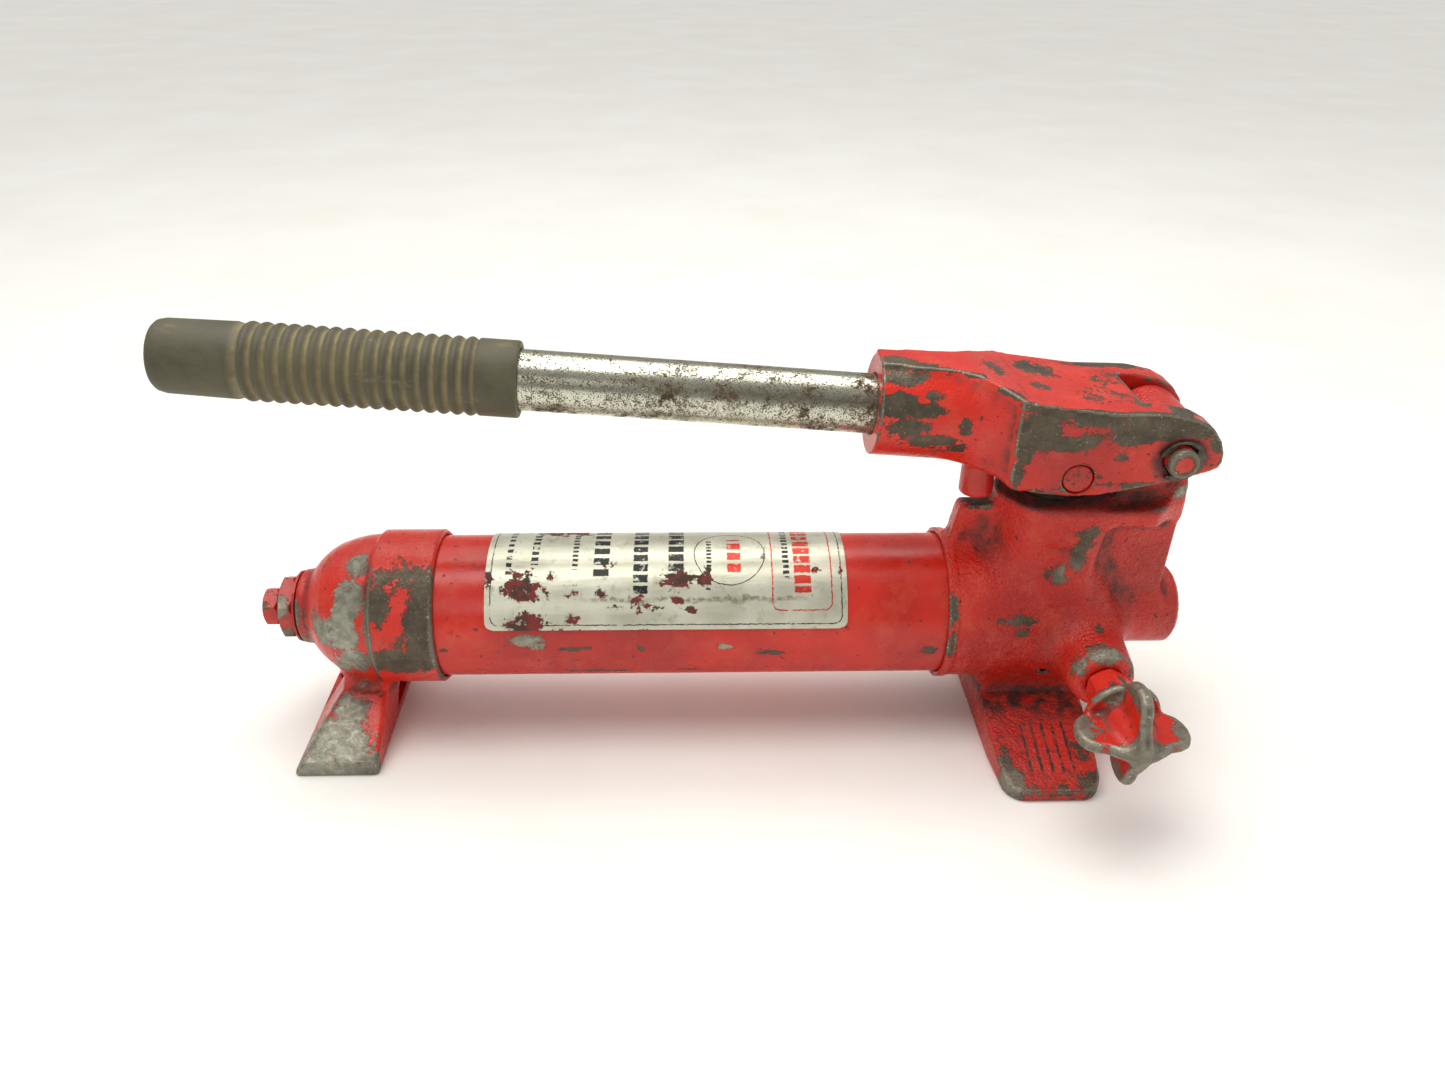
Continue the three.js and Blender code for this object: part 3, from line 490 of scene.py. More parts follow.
# ------------------------------------------------------------------ materials
PAINT_DEEP = (0.43, 0.012, 0.006)
PAINT_BRIGHT = (0.66, 0.022, 0.009)
PAINT_FADED = (0.66, 0.090, 0.045)
CHIP_RIM = (0.10, 0.012, 0.010)
# Near-black, for grime and for painted shade in corners, creases and under parts.
GRIME_AND_SHADE = (0.030, 0.020, 0.015)
DARK_METAL = (0.070, 0.054, 0.036)
WARM_METAL = (0.130, 0.105, 0.072)
DULL_METAL = (0.22, 0.21, 0.16)
PALE_METAL = (0.42, 0.41, 0.33)
SCRATCHED_METAL = (0.110, 0.095, 0.070)
RUBBED_METAL = (0.36, 0.33, 0.26)
GLINT = (0.62, 0.60, 0.50)
CHIP_NOISE_MEAN = 0.415
CHIP_EDGE = 0.008
CHIP_RELIEF = 0.00035


def worn_paint(name, wear=0.72, sand=0.25, edge_wear=0.17, streak=None, pale=0.0, extra=None):
    """Red enamel over cast metal, chipped away on edges and in the marked patches.

    More wear means fewer chips, sand is how rough the casting is, streak stretches the chips,
    pale lightens the bare metal, and extra gives more grime and painted shadow. Concave corners get
    painted shade.
    """
    s = Shader(name)
    worn, edge, corner, bright = (s.attribute(mark) for mark in ("worn", "edge", "corner", "bright"))
    broad = s.noise(38, 3.0, 0.5, place=s.stretched(1, 1, 1, (0.31, 0.12, 0.05)))
    middle = s.noise(185, 8.0, 0.72, 0.25, place=streak and s.stretched(*streak))
    small = s.noise(640, 5.0, 0.72)
    field = broad * 0.45 + middle * 0.78 + small * 0.60 + edge * edge_wear + worn * 0.36
    field = field - CHIP_NOISE_MEAN
    freckles = s.ramp(s.noise(430, 4.0, 0.65), 0.60, 0.62) * s.ramp(worn + broad * 0.6, 0.62, 0.78)
    bare = s.math("MAXIMUM", s.ramp(field, wear, wear + CHIP_EDGE), freckles, clamp=True)
    rim = s.ramp(field, wear - 2 * CHIP_EDGE, wear - CHIP_EDGE / 4)

    paint = s.mix(s.ramp(s.noise(22, 2.0), 0.38, 0.62), PAINT_DEEP, PAINT_BRIGHT)
    scuffs = s.noise(95, 6.0, 0.7, place=s.stretched(1, 1, 1, (0.7, 0.2, 0.4)))
    paint = s.mix(s.ramp(scuffs, 0.50, 0.72, 0.0, 0.50), paint, PAINT_FADED)
    # Painted shade: concave corners darken towards near-black, mixed with grime. The specks are grime,
    # and extra adds more grime and painted shadow.
    dirt_and_shade = s.ramp(corner, 0.05, 0.80) * s.ramp(s.noise(260, 5.0, 0.7), 0.38, 0.62, 0.30, 1.0)
    specks = s.ramp(s.noise(420, 2.0, 0.4), 0.70, 0.73)
    dirt_and_shade = s.most(dirt_and_shade * 0.85, specks * 0.75)
    if extra:
        dirt_and_shade = s.most(dirt_and_shade, extra(s))
    paint = s.mix(dirt_and_shade, paint, GRIME_AND_SHADE)
    paint = s.mix(rim * 0.45, paint, CHIP_RIM)

    dark = s.mix(s.ramp(s.noise(130, 5.0, 0.65), 0.35, 0.65), DARK_METAL, WARM_METAL)
    light = s.mix(s.ramp(s.noise(300, 4.0, 0.6), 0.35, 0.7), DULL_METAL, PALE_METAL)
    scratches = s.noise(520, 6.0, 0.75, place=s.stretched(0.5, 1.3, 0.35, (0.2, 0.6, 0.1)))
    light = s.mix(s.ramp(scratches, 0.56, 0.64, 0.0, 0.7), light, SCRATCHED_METAL)
    metal = s.mix(s.math("ADD", bright, pale, clamp=True), dark, light)
    metal = s.mix(s.ramp(edge, 0.55, 1.0, 0.0, 0.35), metal, RUBBED_METAL)
    # Painted highlights: bright glint specks on the bare metal, most along its edges.
    glints = s.ramp(s.noise(1100, 2.0, 0.5), 0.66, 0.70, 0.0, 0.8) * s.ramp(edge, 0.1, 0.8, 0.25, 1.0)
    metal = s.mix(glints, metal, GLINT)

    painted_rough = s.ramp(s.noise(60, 4.0), 0.3, 0.7, 0.20, 0.40)
    painted_rough = s.math("ADD", painted_rough, dirt_and_shade * 0.3, clamp=True)
    metal_rough = s.ramp(s.noise(500, 3.0), 0.3, 0.7, 0.34, 0.62)
    s.set(Base_Color=s.mix(bare, paint, metal), Metallic=bare * 0.55,
          Roughness=painted_rough + (metal_rough - painted_rough) * bare)
    grain, lumps = s.noise(850, 3.0, 0.55), s.noise(240, 3.0, 0.5)
    s.bump(bare * -0.50 + grain * (3.6 * sand) + lumps * (3.4 * sand), CHIP_RELIEF, 0.9)
    return s.material


def plain_metal(name, colour, dull, roughness=0.35, metallic=1.0, scale=300):
    """Bare machined metal, with a mottled colour and fine turning marks."""
    s = Shader(name)
    mottle = s.ramp(s.noise(scale, 5.0, 0.65), 0.40, 0.66)
    s.set(Base_Color=s.mix(mottle, colour, dull), Metallic=metallic,
          Roughness=s.ramp(s.noise(scale * 2, 4.0), 0.3, 0.7, roughness - 0.1, roughness + 0.18))
    s.bump(s.noise(scale * 4, 3.0), 0.00005, 0.6)
    return s.material


def rusted_chrome(name):
    """Old plating: fine rust pits all over, a few rust spots, and a dark band of painted reflection along
    its front.
    """
    s = Shader(name)
    x, y, z = s.axes()
    low, spots = s.noise(75, 4.0, 0.6, 0.4), s.noise(330, 7.0, 0.75, 0.3)
    near_yoke = s.ramp(x, -0.20, -0.08, 0.0, 0.030)
    field = low * 0.45 + spots * 0.42 + s.noise(1500, 3.0, 0.6) * 0.13 + near_yoke
    haze = s.ramp(field, 0.50, 0.58)
    pits = s.noise(1700, 3.0, 0.6) * 0.8 + spots * 0.35 + low * 0.20
    rust = s.most(s.ramp(field, 0.572, 0.584), s.ramp(pits, 0.705, 0.735, 0.0, 0.9))
    slope = math.tan(HANDLE_SLOPE)
    axis_z = (HANDLE_PIVOT[1] + HANDLE_PIVOT[0] * slope) * MM
    height = z + x * slope - (axis_z + 0.0015) + s.noise(160, 4.0) * 0.003
    # Painted reflection: a dark band along the front of the tube, a little above its axis.
    dull = s.band(height, 0.0030, 0.0062, 0.0014) * s.ramp(y, -0.006, -0.002, 1.0, 0.0)
    chrome = s.mix(haze, (0.60, 0.60, 0.50), (0.33, 0.31, 0.22))
    chrome = s.mix(dull * 0.75, chrome, (0.170, 0.155, 0.105))
    brown = s.mix(s.ramp(s.noise(600, 3.0), 0.35, 0.65), (0.050, 0.032, 0.020), (0.13, 0.085, 0.052))
    s.set(Base_Color=s.mix(rust, chrome, brown), Metallic=s.ramp(rust, 0.0, 1.0, 1.0, 0.15),
          Roughness=s.math("ADD", s.ramp(haze, 0.0, 1.0, 0.20, 0.40), rust * 0.4, clamp=True))
    s.bump(rust * -0.6 + spots * 0.25, 0.0003, 0.8)
    return s.material


def dusty_rubber(name):
    """Olive rubber, with pale dust in its grooves."""
    s = Shader(name)
    cloud = s.ramp(s.noise(55, 5.0, 0.65), 0.36, 0.66)
    rubber = s.mix(cloud, (0.066, 0.058, 0.032), (0.118, 0.104, 0.058))
    dust = s.attribute("corner") * s.ramp(s.noise(90, 5.0, 0.7), 0.34, 0.60, 0.25, 0.95)
    rubber = s.mix(dust, rubber, (0.235, 0.195, 0.090))
    scuffs = s.noise(140, 6.0, 0.72, place=s.stretched(0.35, 1.2, 1.2))
    rubber = s.mix(s.ramp(scuffs, 0.60, 0.68, 0.0, 0.6), rubber, (0.20, 0.175, 0.11))
    s.set(Base_Color=rubber, Roughness=s.ramp(cloud, 0.0, 1.0, 0.55, 0.75))
    s.bump(s.noise(900, 4.0) * 0.5 + s.noise(160, 4.0) * 0.7, 0.0002, 0.7)
    return s.material


def matte_rubber(name):
    s = Shader(name)
    s.set(Base_Color=s.mix(s.noise(200, 4.0), (0.012, 0.012, 0.012), (0.05, 0.045, 0.04)), Roughness=0.65)
    s.bump(s.noise(1500, 2.0), 0.00005, 0.5)
    return s.material


# The label is measured along the tube from its left end, and across it round the tube.
LABEL_LEFT_X = -220.0
LABEL_LONG = 140.0
LABEL_INNER_R = 28.875
LABEL_THICK = 0.3
LABEL_START = math.radians(14)
LABEL_ARC = math.pi - 2 * LABEL_START
LABEL_WIDE = LABEL_INNER_R * LABEL_ARC
INK_SOFT = 0.08
# Columns of print: from and to along the label, from and to across it, pitch, filled share.
BLACK_COLUMNS = [
    (70.6, 76.6, 19.0, 61.0, 4.6, 0.74), (57.0, 62.6, 14.0, 60.0, 4.6, 0.70),
    (41.5, 47.5, 21.0, 56.0, 5.2, 0.62), (33.2, 35.4, 24.0, 52.0, 2.3, 0.55),
    (17.2, 20.0, 26.0, 60.0, 3.1, 0.62), (7.6, 9.8, 22.0, 56.0, 3.6, 0.50),
    (85.4, 87.4, 23.0, 40.0, 1.9, 0.55), (115.2, 117.6, 20.0, 52.0, 2.4, 0.60),
]
RED_COLUMNS = [(93.5, 98.8, 22.0, 40.0, 5.6, 0.66), (119.5, 126.0, 14.0, 60.0, 4.4, 0.76)]


def printed_foil(name):
    """Silver foil with a border, a circle, a frame and plain bars, torn and rusted in places."""
    s = Shader(name)
    along = s.axes()[0] * (1 / MM) - LABEL_LEFT_X
    across = s.attribute("across")
    jitter = (s.noise(700, 3.0) - 0.5) * 0.9
    u, v = jitter + along, jitter + across

    def inked(distance, line):
        """Ink on a line of this width where the distance is zero."""
        return s.ramp(abs(distance), line / 2 - INK_SOFT, line / 2 + INK_SOFT, 1.0, 0.0)

    def framed(u0, u1, v0, v1, corner, line):
        """A thin rounded outline."""
        du = abs(u - (u0 + u1) / 2) - ((u1 - u0) / 2 - corner)
        dv = abs(v - (v0 + v1) / 2) - ((v1 - v0) / 2 - corner)
        outside = s.reach(s.most(du, 0.0), s.most(dv, 0.0))
        return inked(outside + s.math("MINIMUM", s.most(du, dv), 0.0) - corner, line)

    def circle(u0, v0, radius, line):
        return inked(s.reach(u - u0, v - v0) - radius, line)

    def bars(u0, u1, v0, v1, pitch, fill):
        """A column of plain blocks, standing for a line of print."""
        step = s.math("FRACT", s.math("DIVIDE", v, pitch))
        column = s.band(u, u0, u1, 0.12) * s.band(v, v0, v1, 0.12)
        return column * s.ramp(step, fill - 0.02, fill + 0.02, 1.0, 0.0)

    black = s.most(framed(2.2, LABEL_LONG - 2.2, 2.0, LABEL_WIDE - 2.0, 3.0, 0.42),
                   circle(94.5, 31.0, 13.8, 0.40), *(bars(*column) for column in BLACK_COLUMNS))
    red = s.most(framed(111.0, 134.0, 7.3, LABEL_WIDE - 7.3, 3.0, 0.5),
                 *(bars(*column) for column in RED_COLUMNS))
    worn_print = s.ramp(s.noise(300, 5.0, 0.7), 0.36, 0.44)
    cloud = s.ramp(s.noise(70, 5.0, 0.6), 0.35, 0.65)
    foil = s.mix(cloud, (0.57, 0.56, 0.44), (0.70, 0.69, 0.57))
    stain = s.ramp(s.noise(130, 6.0, 0.72), 0.56, 0.68, 0.0, 0.55)
    foil = s.mix(stain, foil, (0.32, 0.27, 0.17))
    waver = s.noise(90, 5.0, 0.7) * 7.0 + across
    scrape = s.band(waver, 14.4, 16.0, 0.5) * s.band(along, 40.0, 122.0, 4.0)
    scrape = scrape * s.ramp(s.noise(420, 5.0, 0.7), 0.40, 0.56, 0.15, 0.85)
    foil = s.mix(scrape, foil, (0.22, 0.18, 0.105))
    foil = s.mix(black * worn_print, foil, (0.022, 0.024, 0.022))
    foil = s.mix(red * worn_print, foil, (0.62, 0.045, 0.030))

    tears = s.noise(190, 6.0, 0.7, 0.4) * 1.1 + s.noise(560, 3.0) * 0.5 + s.attribute("worn") * 0.36
    torn = s.ramp(tears, 1.065, 1.080)
    rust_or_paint = s.ramp(s.noise(260, 5.0, 0.6), 0.44, 0.56)
    under = s.mix(rust_or_paint, (0.060, 0.028, 0.018), (0.21, 0.022, 0.018))
    foil = s.mix(s.ramp(tears, 1.01, 1.06) * 0.75, foil, (0.12, 0.09, 0.055))
    s.set(Base_Color=s.mix(torn, foil, under), Metallic=s.ramp(torn, 0.0, 1.0, 0.55, 0.1),
          Roughness=s.math("ADD", s.ramp(cloud, 0.0, 1.0, 0.30, 0.42), torn * 0.3, clamp=True))
    crease = s.noise(110, 4.0, 0.6, 0.8, place=s.stretched(0.25, 1.6, 1.6))
    s.bump(torn * -0.8 + crease * 1.3 + s.noise(800, 2.0) * 0.1, 0.00022, 0.8)
    return s.material


RIB_MARK_PITCH = 4.2 * MM


def head_grime_and_shade(s):
    """Oil with painted shadow on the table under the yoke, pits in the foot, grime and painted shade in
    the crease above the foot, and dark marks of five cast ribs on it, painted shade with grime.
    """
    x, y, z = s.axes()
    off_middle = abs(y)
    # Painted shadow under the yoke, with oil: the top of the table and lip darkens towards near-black.
    oil_and_shadow = s.band(z, 0.1022, 0.1085, 0.0012) * s.ramp(x, 0.033, 0.042, 1.0, 0.0)
    oil_and_shadow = oil_and_shadow * s.ramp(s.noise(150, 5.0, 0.7), 0.30, 0.55, 0.55, 0.95)
    oil_and_shadow = oil_and_shadow * s.ramp(off_middle, 0.018, 0.023, 1.0, 0.35)
    on_foot = s.ramp(z, 0.0175, 0.022, 1.0, 0.0)
    pits = s.ramp(s.noise(340, 4.0, 0.65), 0.57, 0.62) * on_foot * 0.55
    # Grime and painted shade in the crease where the barrel meets the foot.
    root_grime_and_shade = s.band(z, 0.0130, 0.0215, 0.0025) * s.ramp(s.noise(190, 5.0, 0.7), 0.38, 0.56)
    root_grime_and_shade = root_grime_and_shade * s.ramp(off_middle, 0.033, 0.037, 1.0, 0.25)
    # Painted shade with grime: dark lines across the foot for five cast ribs.
    wave = s.math("FRACT", x * (1 / RIB_MARK_PITCH) + 0.35)
    wobble = s.noise(420, 3.0) * 0.35 - 0.175
    ribs = s.ramp(abs(wave - 0.5 + wobble), 0.09, 0.20, 1.0, 0.0) * s.ramp(z, 0.020, 0.022, 1.0, 0.0)
    ribs = ribs * s.band(x, -0.0105, 0.0105, 0.0005) * s.band(off_middle, 0.035, 0.058, 0.001)
    ribs = ribs * s.ramp(s.noise(330, 5.0, 0.7), 0.38, 0.52, 0.35, 1.0)
    return s.most(ribs, root_grime_and_shade * 0.95, pits, oil_and_shadow)


def pin_shade_and_grime(s):
    """A dark ring on the cheeks around the fulcrum pin: oil and grime, with painted shadow from the clip.
    """
    x, _, z = s.axes()
    reach = s.reach(x - FULCRUM[0] * MM, z - FULCRUM[1] * MM)
    return s.ramp(reach + s.noise(220, 4.0) * 0.006, 0.0105, 0.0145, 0.85, 0.0)


head_paint = worn_paint("paint_on_head", wear=0.735, sand=0.60, edge_wear=0.05, extra=head_grime_and_shade)
cap_paint = worn_paint("paint_on_cap", wear=0.72, sand=0.20, edge_wear=0.12)
yoke_paint = worn_paint("paint_on_yoke", wear=0.695, sand=0.22, edge_wear=0.12, streak=(0.75, 1.0, 1.15),
                        extra=pin_shade_and_grime)
tube_paint = worn_paint("paint_on_tube", wear=0.775, sand=0.03, edge_wear=0.05)
nut_paint = worn_paint("paint_on_nuts", wear=0.70, sand=0.08, edge_wear=0.12)
pin_paint = worn_paint("paint_on_pins", wear=0.60, sand=0.10, edge_wear=0.30)
knob_paint = worn_paint("paint_on_knob", wear=0.64, sand=0.07, pale=0.42)
chrome = rusted_chrome("rusted_chrome")
rubber = dusty_rubber("dusty_rubber")
foil = printed_foil("printed_foil")
steel = plain_metal("turned_steel", (0.52, 0.51, 0.48), (0.30, 0.29, 0.26))
dark_steel = plain_metal("blackened_steel", (0.060, 0.052, 0.042), (0.16, 0.14, 0.11), 0.45, 0.8)
brass = plain_metal("turned_brass", (0.62, 0.44, 0.16), (0.40, 0.27, 0.10))
plunger_steel = plain_metal("plunger_plating", (0.60, 0.60, 0.58), (0.34, 0.33, 0.30), 0.2, 1.0, 150)
seal = matte_rubber("seal_rubber")


# ------------------------------------------------------------------ cast head
def head_field():
    barrel = turned("x", [
        (HEAD_LEFT_X, 0), (HEAD_LEFT_X, 30.8), (-36.9, 30.8), (-36.3, 30.2), (12, BARREL_R),
        (19, 28.4), (24, 23.8), (26.5, 16), (26.5, 0),
    ], 0, TUBE_Z)
    tower = rod("z", TOWER_R, TUBE_Z, TOWER_TOP_Z, 0, 0, 1.2)
    ledge = prism("y", [
        (-37.4, 70), (-18, 70), (-18, 96.6), (-34.5, 96.6), (-35.8, 95.2), (-37.4, 86.6),
    ], -4, 4, 1.0)
    shoulder = prism("z", [
        (-19.5, -3), (-4, -21.3), (12, -21.6), (12, 21.6), (-4, 21.3), (-19.5, 3),
    ], 91, TOWER_TOP_Z, 1.2)
    near_rib = prism("y", [(2, 62), (12, 62), (17.5, 100), (8, 100)], -21.8, 21.8, 3.0)
    table = prism("z", [
        (0, -TABLE_HALF), (34, -TABLE_HALF), (LUG_RIGHT_X - 0.4, -11),
        (LUG_RIGHT_X - 0.4, 11), (34, TABLE_HALF), (0, TABLE_HALF),
    ], 97, TOWER_TOP_Z, 1.2)
    lip_side = prism("y", [
        (29, 98), (46.4, 98), (46.4, 109), (44, 109), (40, 104.5), (29, 103.5),
    ], -21.5, 21.5, 0.8)
    lip_plan = prism("z", [
        (28, -21.8), (34, -21.8), (46.8, -11), (46.8, 11), (34, 21.8), (28, 21.8),
    ], 95, 112)
    lip = common(lip_side, lip_plan, 1.2)
    lug = prism("y", [
        (20, 45), (46.9, 45), (LUG_RIGHT_X, 112), (45, 126), (24, 126), (20, 103.5),
    ], -WEB_HALF, WEB_HALF, 1.0)
    eye = rod("y", LUG_R, -WEB_HALF, WEB_HALF, *FULCRUM, 0.8)
    web = box(0, 46.7, -WEB_HALF, WEB_HALF, TUBE_Z, 98, 1.5)
    outlet = turned("x", [
        (10, 0), (10, 16.3), (OUTLET_END_X - 1.6, 16.3), (OUTLET_END_X, 14.7), (OUTLET_END_X, 0),
    ], 0, OUTLET_Z)
    release = turned("y", [
        (-8, 0), (-8, 19), (-30, 14.2), (-45.5, 12.5), (-48.8, 11.4),
        (RELEASE_FACE_Y, 9.8), (RELEASE_FACE_Y, 0),
    ], *RELEASE)
    foot_front = prism("x", [
        (-66.5, 0), (66.5, 0), (66.5, 4.2), (65.2, 5.4), (20, 17.5), (18, 30),
        (-18, 30), (-20, 17.5), (-65.2, 5.4), (-66.5, 4.2),
    ], -22, 21)
    plan = []
    for centre_x, centre_y, start in (
        (9.7, 57.5, 0), (-10.5, 57.5, 90), (-10.5, -57.5, 180), (9.7, -57.5, 270),
    ):
        for step in range(7):
            angle = math.radians(start + 15 * step)
            plan.append((centre_x + 9 * math.cos(angle), centre_y + 9 * math.sin(angle)))
        if start == 90:
            plan += [(-21, 40), (-21, -40)]
    plan += [(20.2, -40), (20.2, 40)]
    foot = common(foot_front, prism("z", plan, -4, 31), 1.2)
    casting = joined(barrel, tower, 9)
    casting = joined(casting, outlet, 8)
    plate = joined(web, joined(lug, eye, 5), 2)
    plate = common(plate, box(-1, 60, -WEB_HALF, WEB_HALF, 40, 145))
    casting = joined(casting, plate, 5)
    casting = joined(casting, near_rib, 7)
    casting = joined(casting, joined(shoulder, joined(table, lip, 3), 1), 5)
    casting = joined(casting, ledge, 7)
    casting = joined(casting, release, 9)
    casting = joined(casting, foot, 7)
    casting = common(casting, box(HEAD_LEFT_X, 60, -68, 68, 0, 150))
    past_face = HEAD_FACE_X - 2.1
    tube_socket = [rod("x", SEAT_R, HEAD_LEFT_X - 3, HEAD_FACE_X, 0, TUBE_Z)]
    tie_rod_hole = [rod("x", TIE_HOLE_R, past_face, -21.7, 0, TUBE_Z)]
    plunger_bore = [rod("z", 8.3, 40, 110), rod("z", 4, 28, 42), rod("z", 12.3, 82, 110),
                    rod("z", 14.3, 92, 110)]
    fulcrum_hole = [rod("y", PIN_HOLE_R, -20, 20, *FULCRUM)]
    suction_way = [rod("x", 5, past_face, -16, 0, SUCTION_Z), rod("x", 2, -18, 0, 0, SUCTION_Z)]
    outlet_way = [rod("x", radius, start, stop, 0, OUTLET_Z)
                  for radius, start, stop in ((2, 0, 13), (4.6, 12, 40), (8.6, 38, 62))]
    release_way = [rod("y", radius, start, stop, *RELEASE)
                   for radius, start, stop in ((6.8, -60, -38), (5.2, -40, -17), (1.6, -18, -2))]
    return_way = [rod("x", 2, past_face, 13, -20, RELEASE[1])]
    relief_way = [rod("y", 3.1, -36, -12, *RELIEF), rod("y", 1.2, -13, -2, *RELIEF)]
    for hole in (*tube_socket, *tie_rod_hole, *plunger_bore, *fulcrum_hole, *suction_way,
                 *outlet_way, *release_way, *return_way, *relief_way):
        casting = cut(casting, hole, 0.5)
    return casting


HEAD_WORN = [
    ((9, -21, 93), (6, 6, 7), 0.95), ((2, -21, 76), (7, 6, 5), 0.95),
    ((7, -21, 84), (4.5, 6, 10), 1.05), ((-14, -27, 59), (9, 7, 2.6), 0.9),
    ((-12, -29, 54), (5, 6, 2.0), 0.8), ((-39.5, -26, 62), (3.0, 8, 9), 1.0),
    ((-39, -31, 50), (2.6, 6, 10), 0.8), ((16, -46, 57), (11, 6, 5), 1.0),
    ((7, -46, 51), (5, 5, 7), 0.75), ((25, -48, 52), (5, 4, 6), 0.8), ((16, -38, 61), (5, 9, 4), 0.7),
    ((-27, 0, 97), (9, 6, 1.6), 1.1), ((-27, -4, 97), (9, 1.6, 2), 1.1),
    ((-16, -62, 4), (7, 9, 6), 1.0), ((-2, -65, 4), (16, 4, 5), 0.75), ((15, -62, 5), (8, 8, 6), 0.95),
    ((-17, -50, 8), (3, 10, 6), 0.7), ((14, -48, 9), (6, 9, 5), 0.6), ((57, -9, 52), (2.5, 6, 9), 0.8),
    ((45, -15, 108), (5, 8, 3.4), 1.2), ((38, -21, 104), (6, 3, 2), 0.7),
    ((-16, 62, 4), (8, 9, 6), 0.95), ((15, 60, 5), (9, 8, 6), 0.9), ((-5, 28, 66), (14, 8, 4), 0.6),
    ((5, 22, 84), (6, 6, 12), 0.7),
]
HEAD_BRIGHT = [
    ((16, -48, 56), (10, 5, 4), 0.8), ((8, -47, 50), (5, 4, 6), 0.6), ((5, -21, 76), (6, 5, 8), 0.5),
    ((-17, -61, 4), (6, 8, 5), 0.6), ((45, -15, 108), (5, 8, 3.4), 0.9), ((-27, -4, 97), (9, 1, 1), 0.3),
]
cast_piece("cast_head", head_field(), (-41, -67, 0), (57.5, 67, 141), 1.0, "pump",
           head_paint, ("pump_body", "pump_body_tube_collar", "pump_body_outlet_boss"),
           HEAD_WORN, HEAD_BRIGHT)


# ------------------------------------------------------------------ end cap
def cap_field():
    outside = turned("x", [
        (CAP_RIGHT_X, 0), (CAP_RIGHT_X, 29.8), (-240.8, 31), (-263.6, 31), (-264.3, 30.4),
        (-265, 29.5), (-271, 28.9), (-276.6, 27.5), (-281, 25.9), (-284.5, 23.9), (-287.4, 21.5),
        (-289.7, 19), (-291.6, 16.6), (-293.4, 15.3), (-296.4, 15), (CAP_END_X, 14), (CAP_END_X, 0),
    ], 0, TUBE_Z)
    front = prism("x", [
        (-47.5, 0), (47.5, 0), (47.5, 4.5), (46.2, 5.8), (20, 21), (16, 36),
        (-16, 36), (-20, 21), (-46.2, 5.8), (-47.5, 4.5),
    ], -299, -263)
    side = prism("y", [
        (-298, -4), (-264, -4), (-264, 36), (-279, 36), (-283, 20), (-294.5, 5.5), (-298, 0),
    ], -49, 49)
    window = prism("x", [(-13, 3), (13, 3), (0, 15)], -300, -262)
    foot = common(front, side, 2.6)
    seat_x = -253.5
    hollow = turned("x", [
        (seat_x + 1, 0), (seat_x + 1, 25.2), (-266, 25.2), (-277, 22.5), (-284, 17.5), (-288, 11),
        (-288, 0),
    ], 0, TUBE_Z)
    tube_socket = rod("x", SEAT_R, seat_x, -238, 0, TUBE_Z)
    tie_rod_hole = rod("x", 5.4, -299, -280, 0, TUBE_Z)
    casting = common(joined(outside, foot, 5), box(-298, CAP_RIGHT_X, -48, 48, 0, 82))
    for hole in (hollow, tube_socket, tie_rod_hole, window):
        casting = cut(casting, hole, 0.4)
    return casting


CAP_WORN = [
    ((-272, -22, 67), (6.5, 9, 10), 1.25), ((-275, -26, 54), (8, 8, 9), 1.25),
    ((-282, -21, 53), (6, 8, 8), 1.1), ((-272, -28, 41), (8, 8, 9), 1.2),
    ((-278, -22, 36), (6, 7, 6), 0.9), ((-286, -18, 55), (3, 6, 6), 0.95),
    ((-290, -14, 44), (3, 6, 8), 0.85), ((-270, -12, 76), (5, 8, 6), 1.1),
    ((-283, -4, 72), (4, 5, 5), 0.5), ((-245, -28, 56), (6.5, 10, 26), 1.0),
    ((-260, -24, 66), (5, 10, 9), 1.1), ((-256, -30, 43), (9, 8, 9), 1.2),
    ((-244, -20, 70), (5, 12, 10), 1.1), ((-253, -18, 74), (13, 8, 6), 0.85),
    ((-248, -30, 42), (10, 6, 9), 1.0), ((-264.5, -26, 52), (1.8, 14, 26), 1.0),
    ((-240, -26, 50), (1.8, 16, 28), 0.8), ((-253, -30, 53), (9, 5, 4), 0.62),
    ((-284, -38, 10), (16, 14, 8), 1.3), ((-290, -46, 3), (16, 6, 6), 1.3),
    ((-278, -27, 17), (9, 8, 7), 1.05), ((-270, -46, 4), (10, 6, 5), 1.1),
    ((-274, -22, 24), (7, 6, 4), 0.8), ((-274, 20, 62), (7, 10, 12), 0.9),
    ((-284, 36, 10), (14, 14, 8), 1.0), ((-254, 24, 62), (10, 9, 10), 0.8),
    ((-297, 6, 49), (2, 9, 12), 0.7), ((-296.5, -13, 55), (3, 4, 7), 0.9),
    ((-295, -12, 42), (3, 5, 6), 0.8),
]
CAP_BRIGHT = [
    ((-276, -22, 52), (11, 20, 30), 1.0), ((-284, -38, 8), (20, 20, 16), 0.9),
    ((-272, 0, 74), (8, 20, 10), 0.9),
    ((-276, 22, 52), (11, 20, 30), 0.9), ((-284, 38, 8), (20, 20, 16), 0.8),
    ((-291, 0, 49), (7, 20, 20), 0.7),
]
cast_piece("cast_end_cap", cap_field(), (-298, -48, 0), (-239.6, 48, 80), 0.85, "pump",
           cap_paint, ("end_cap",), CAP_WORN, CAP_BRIGHT)


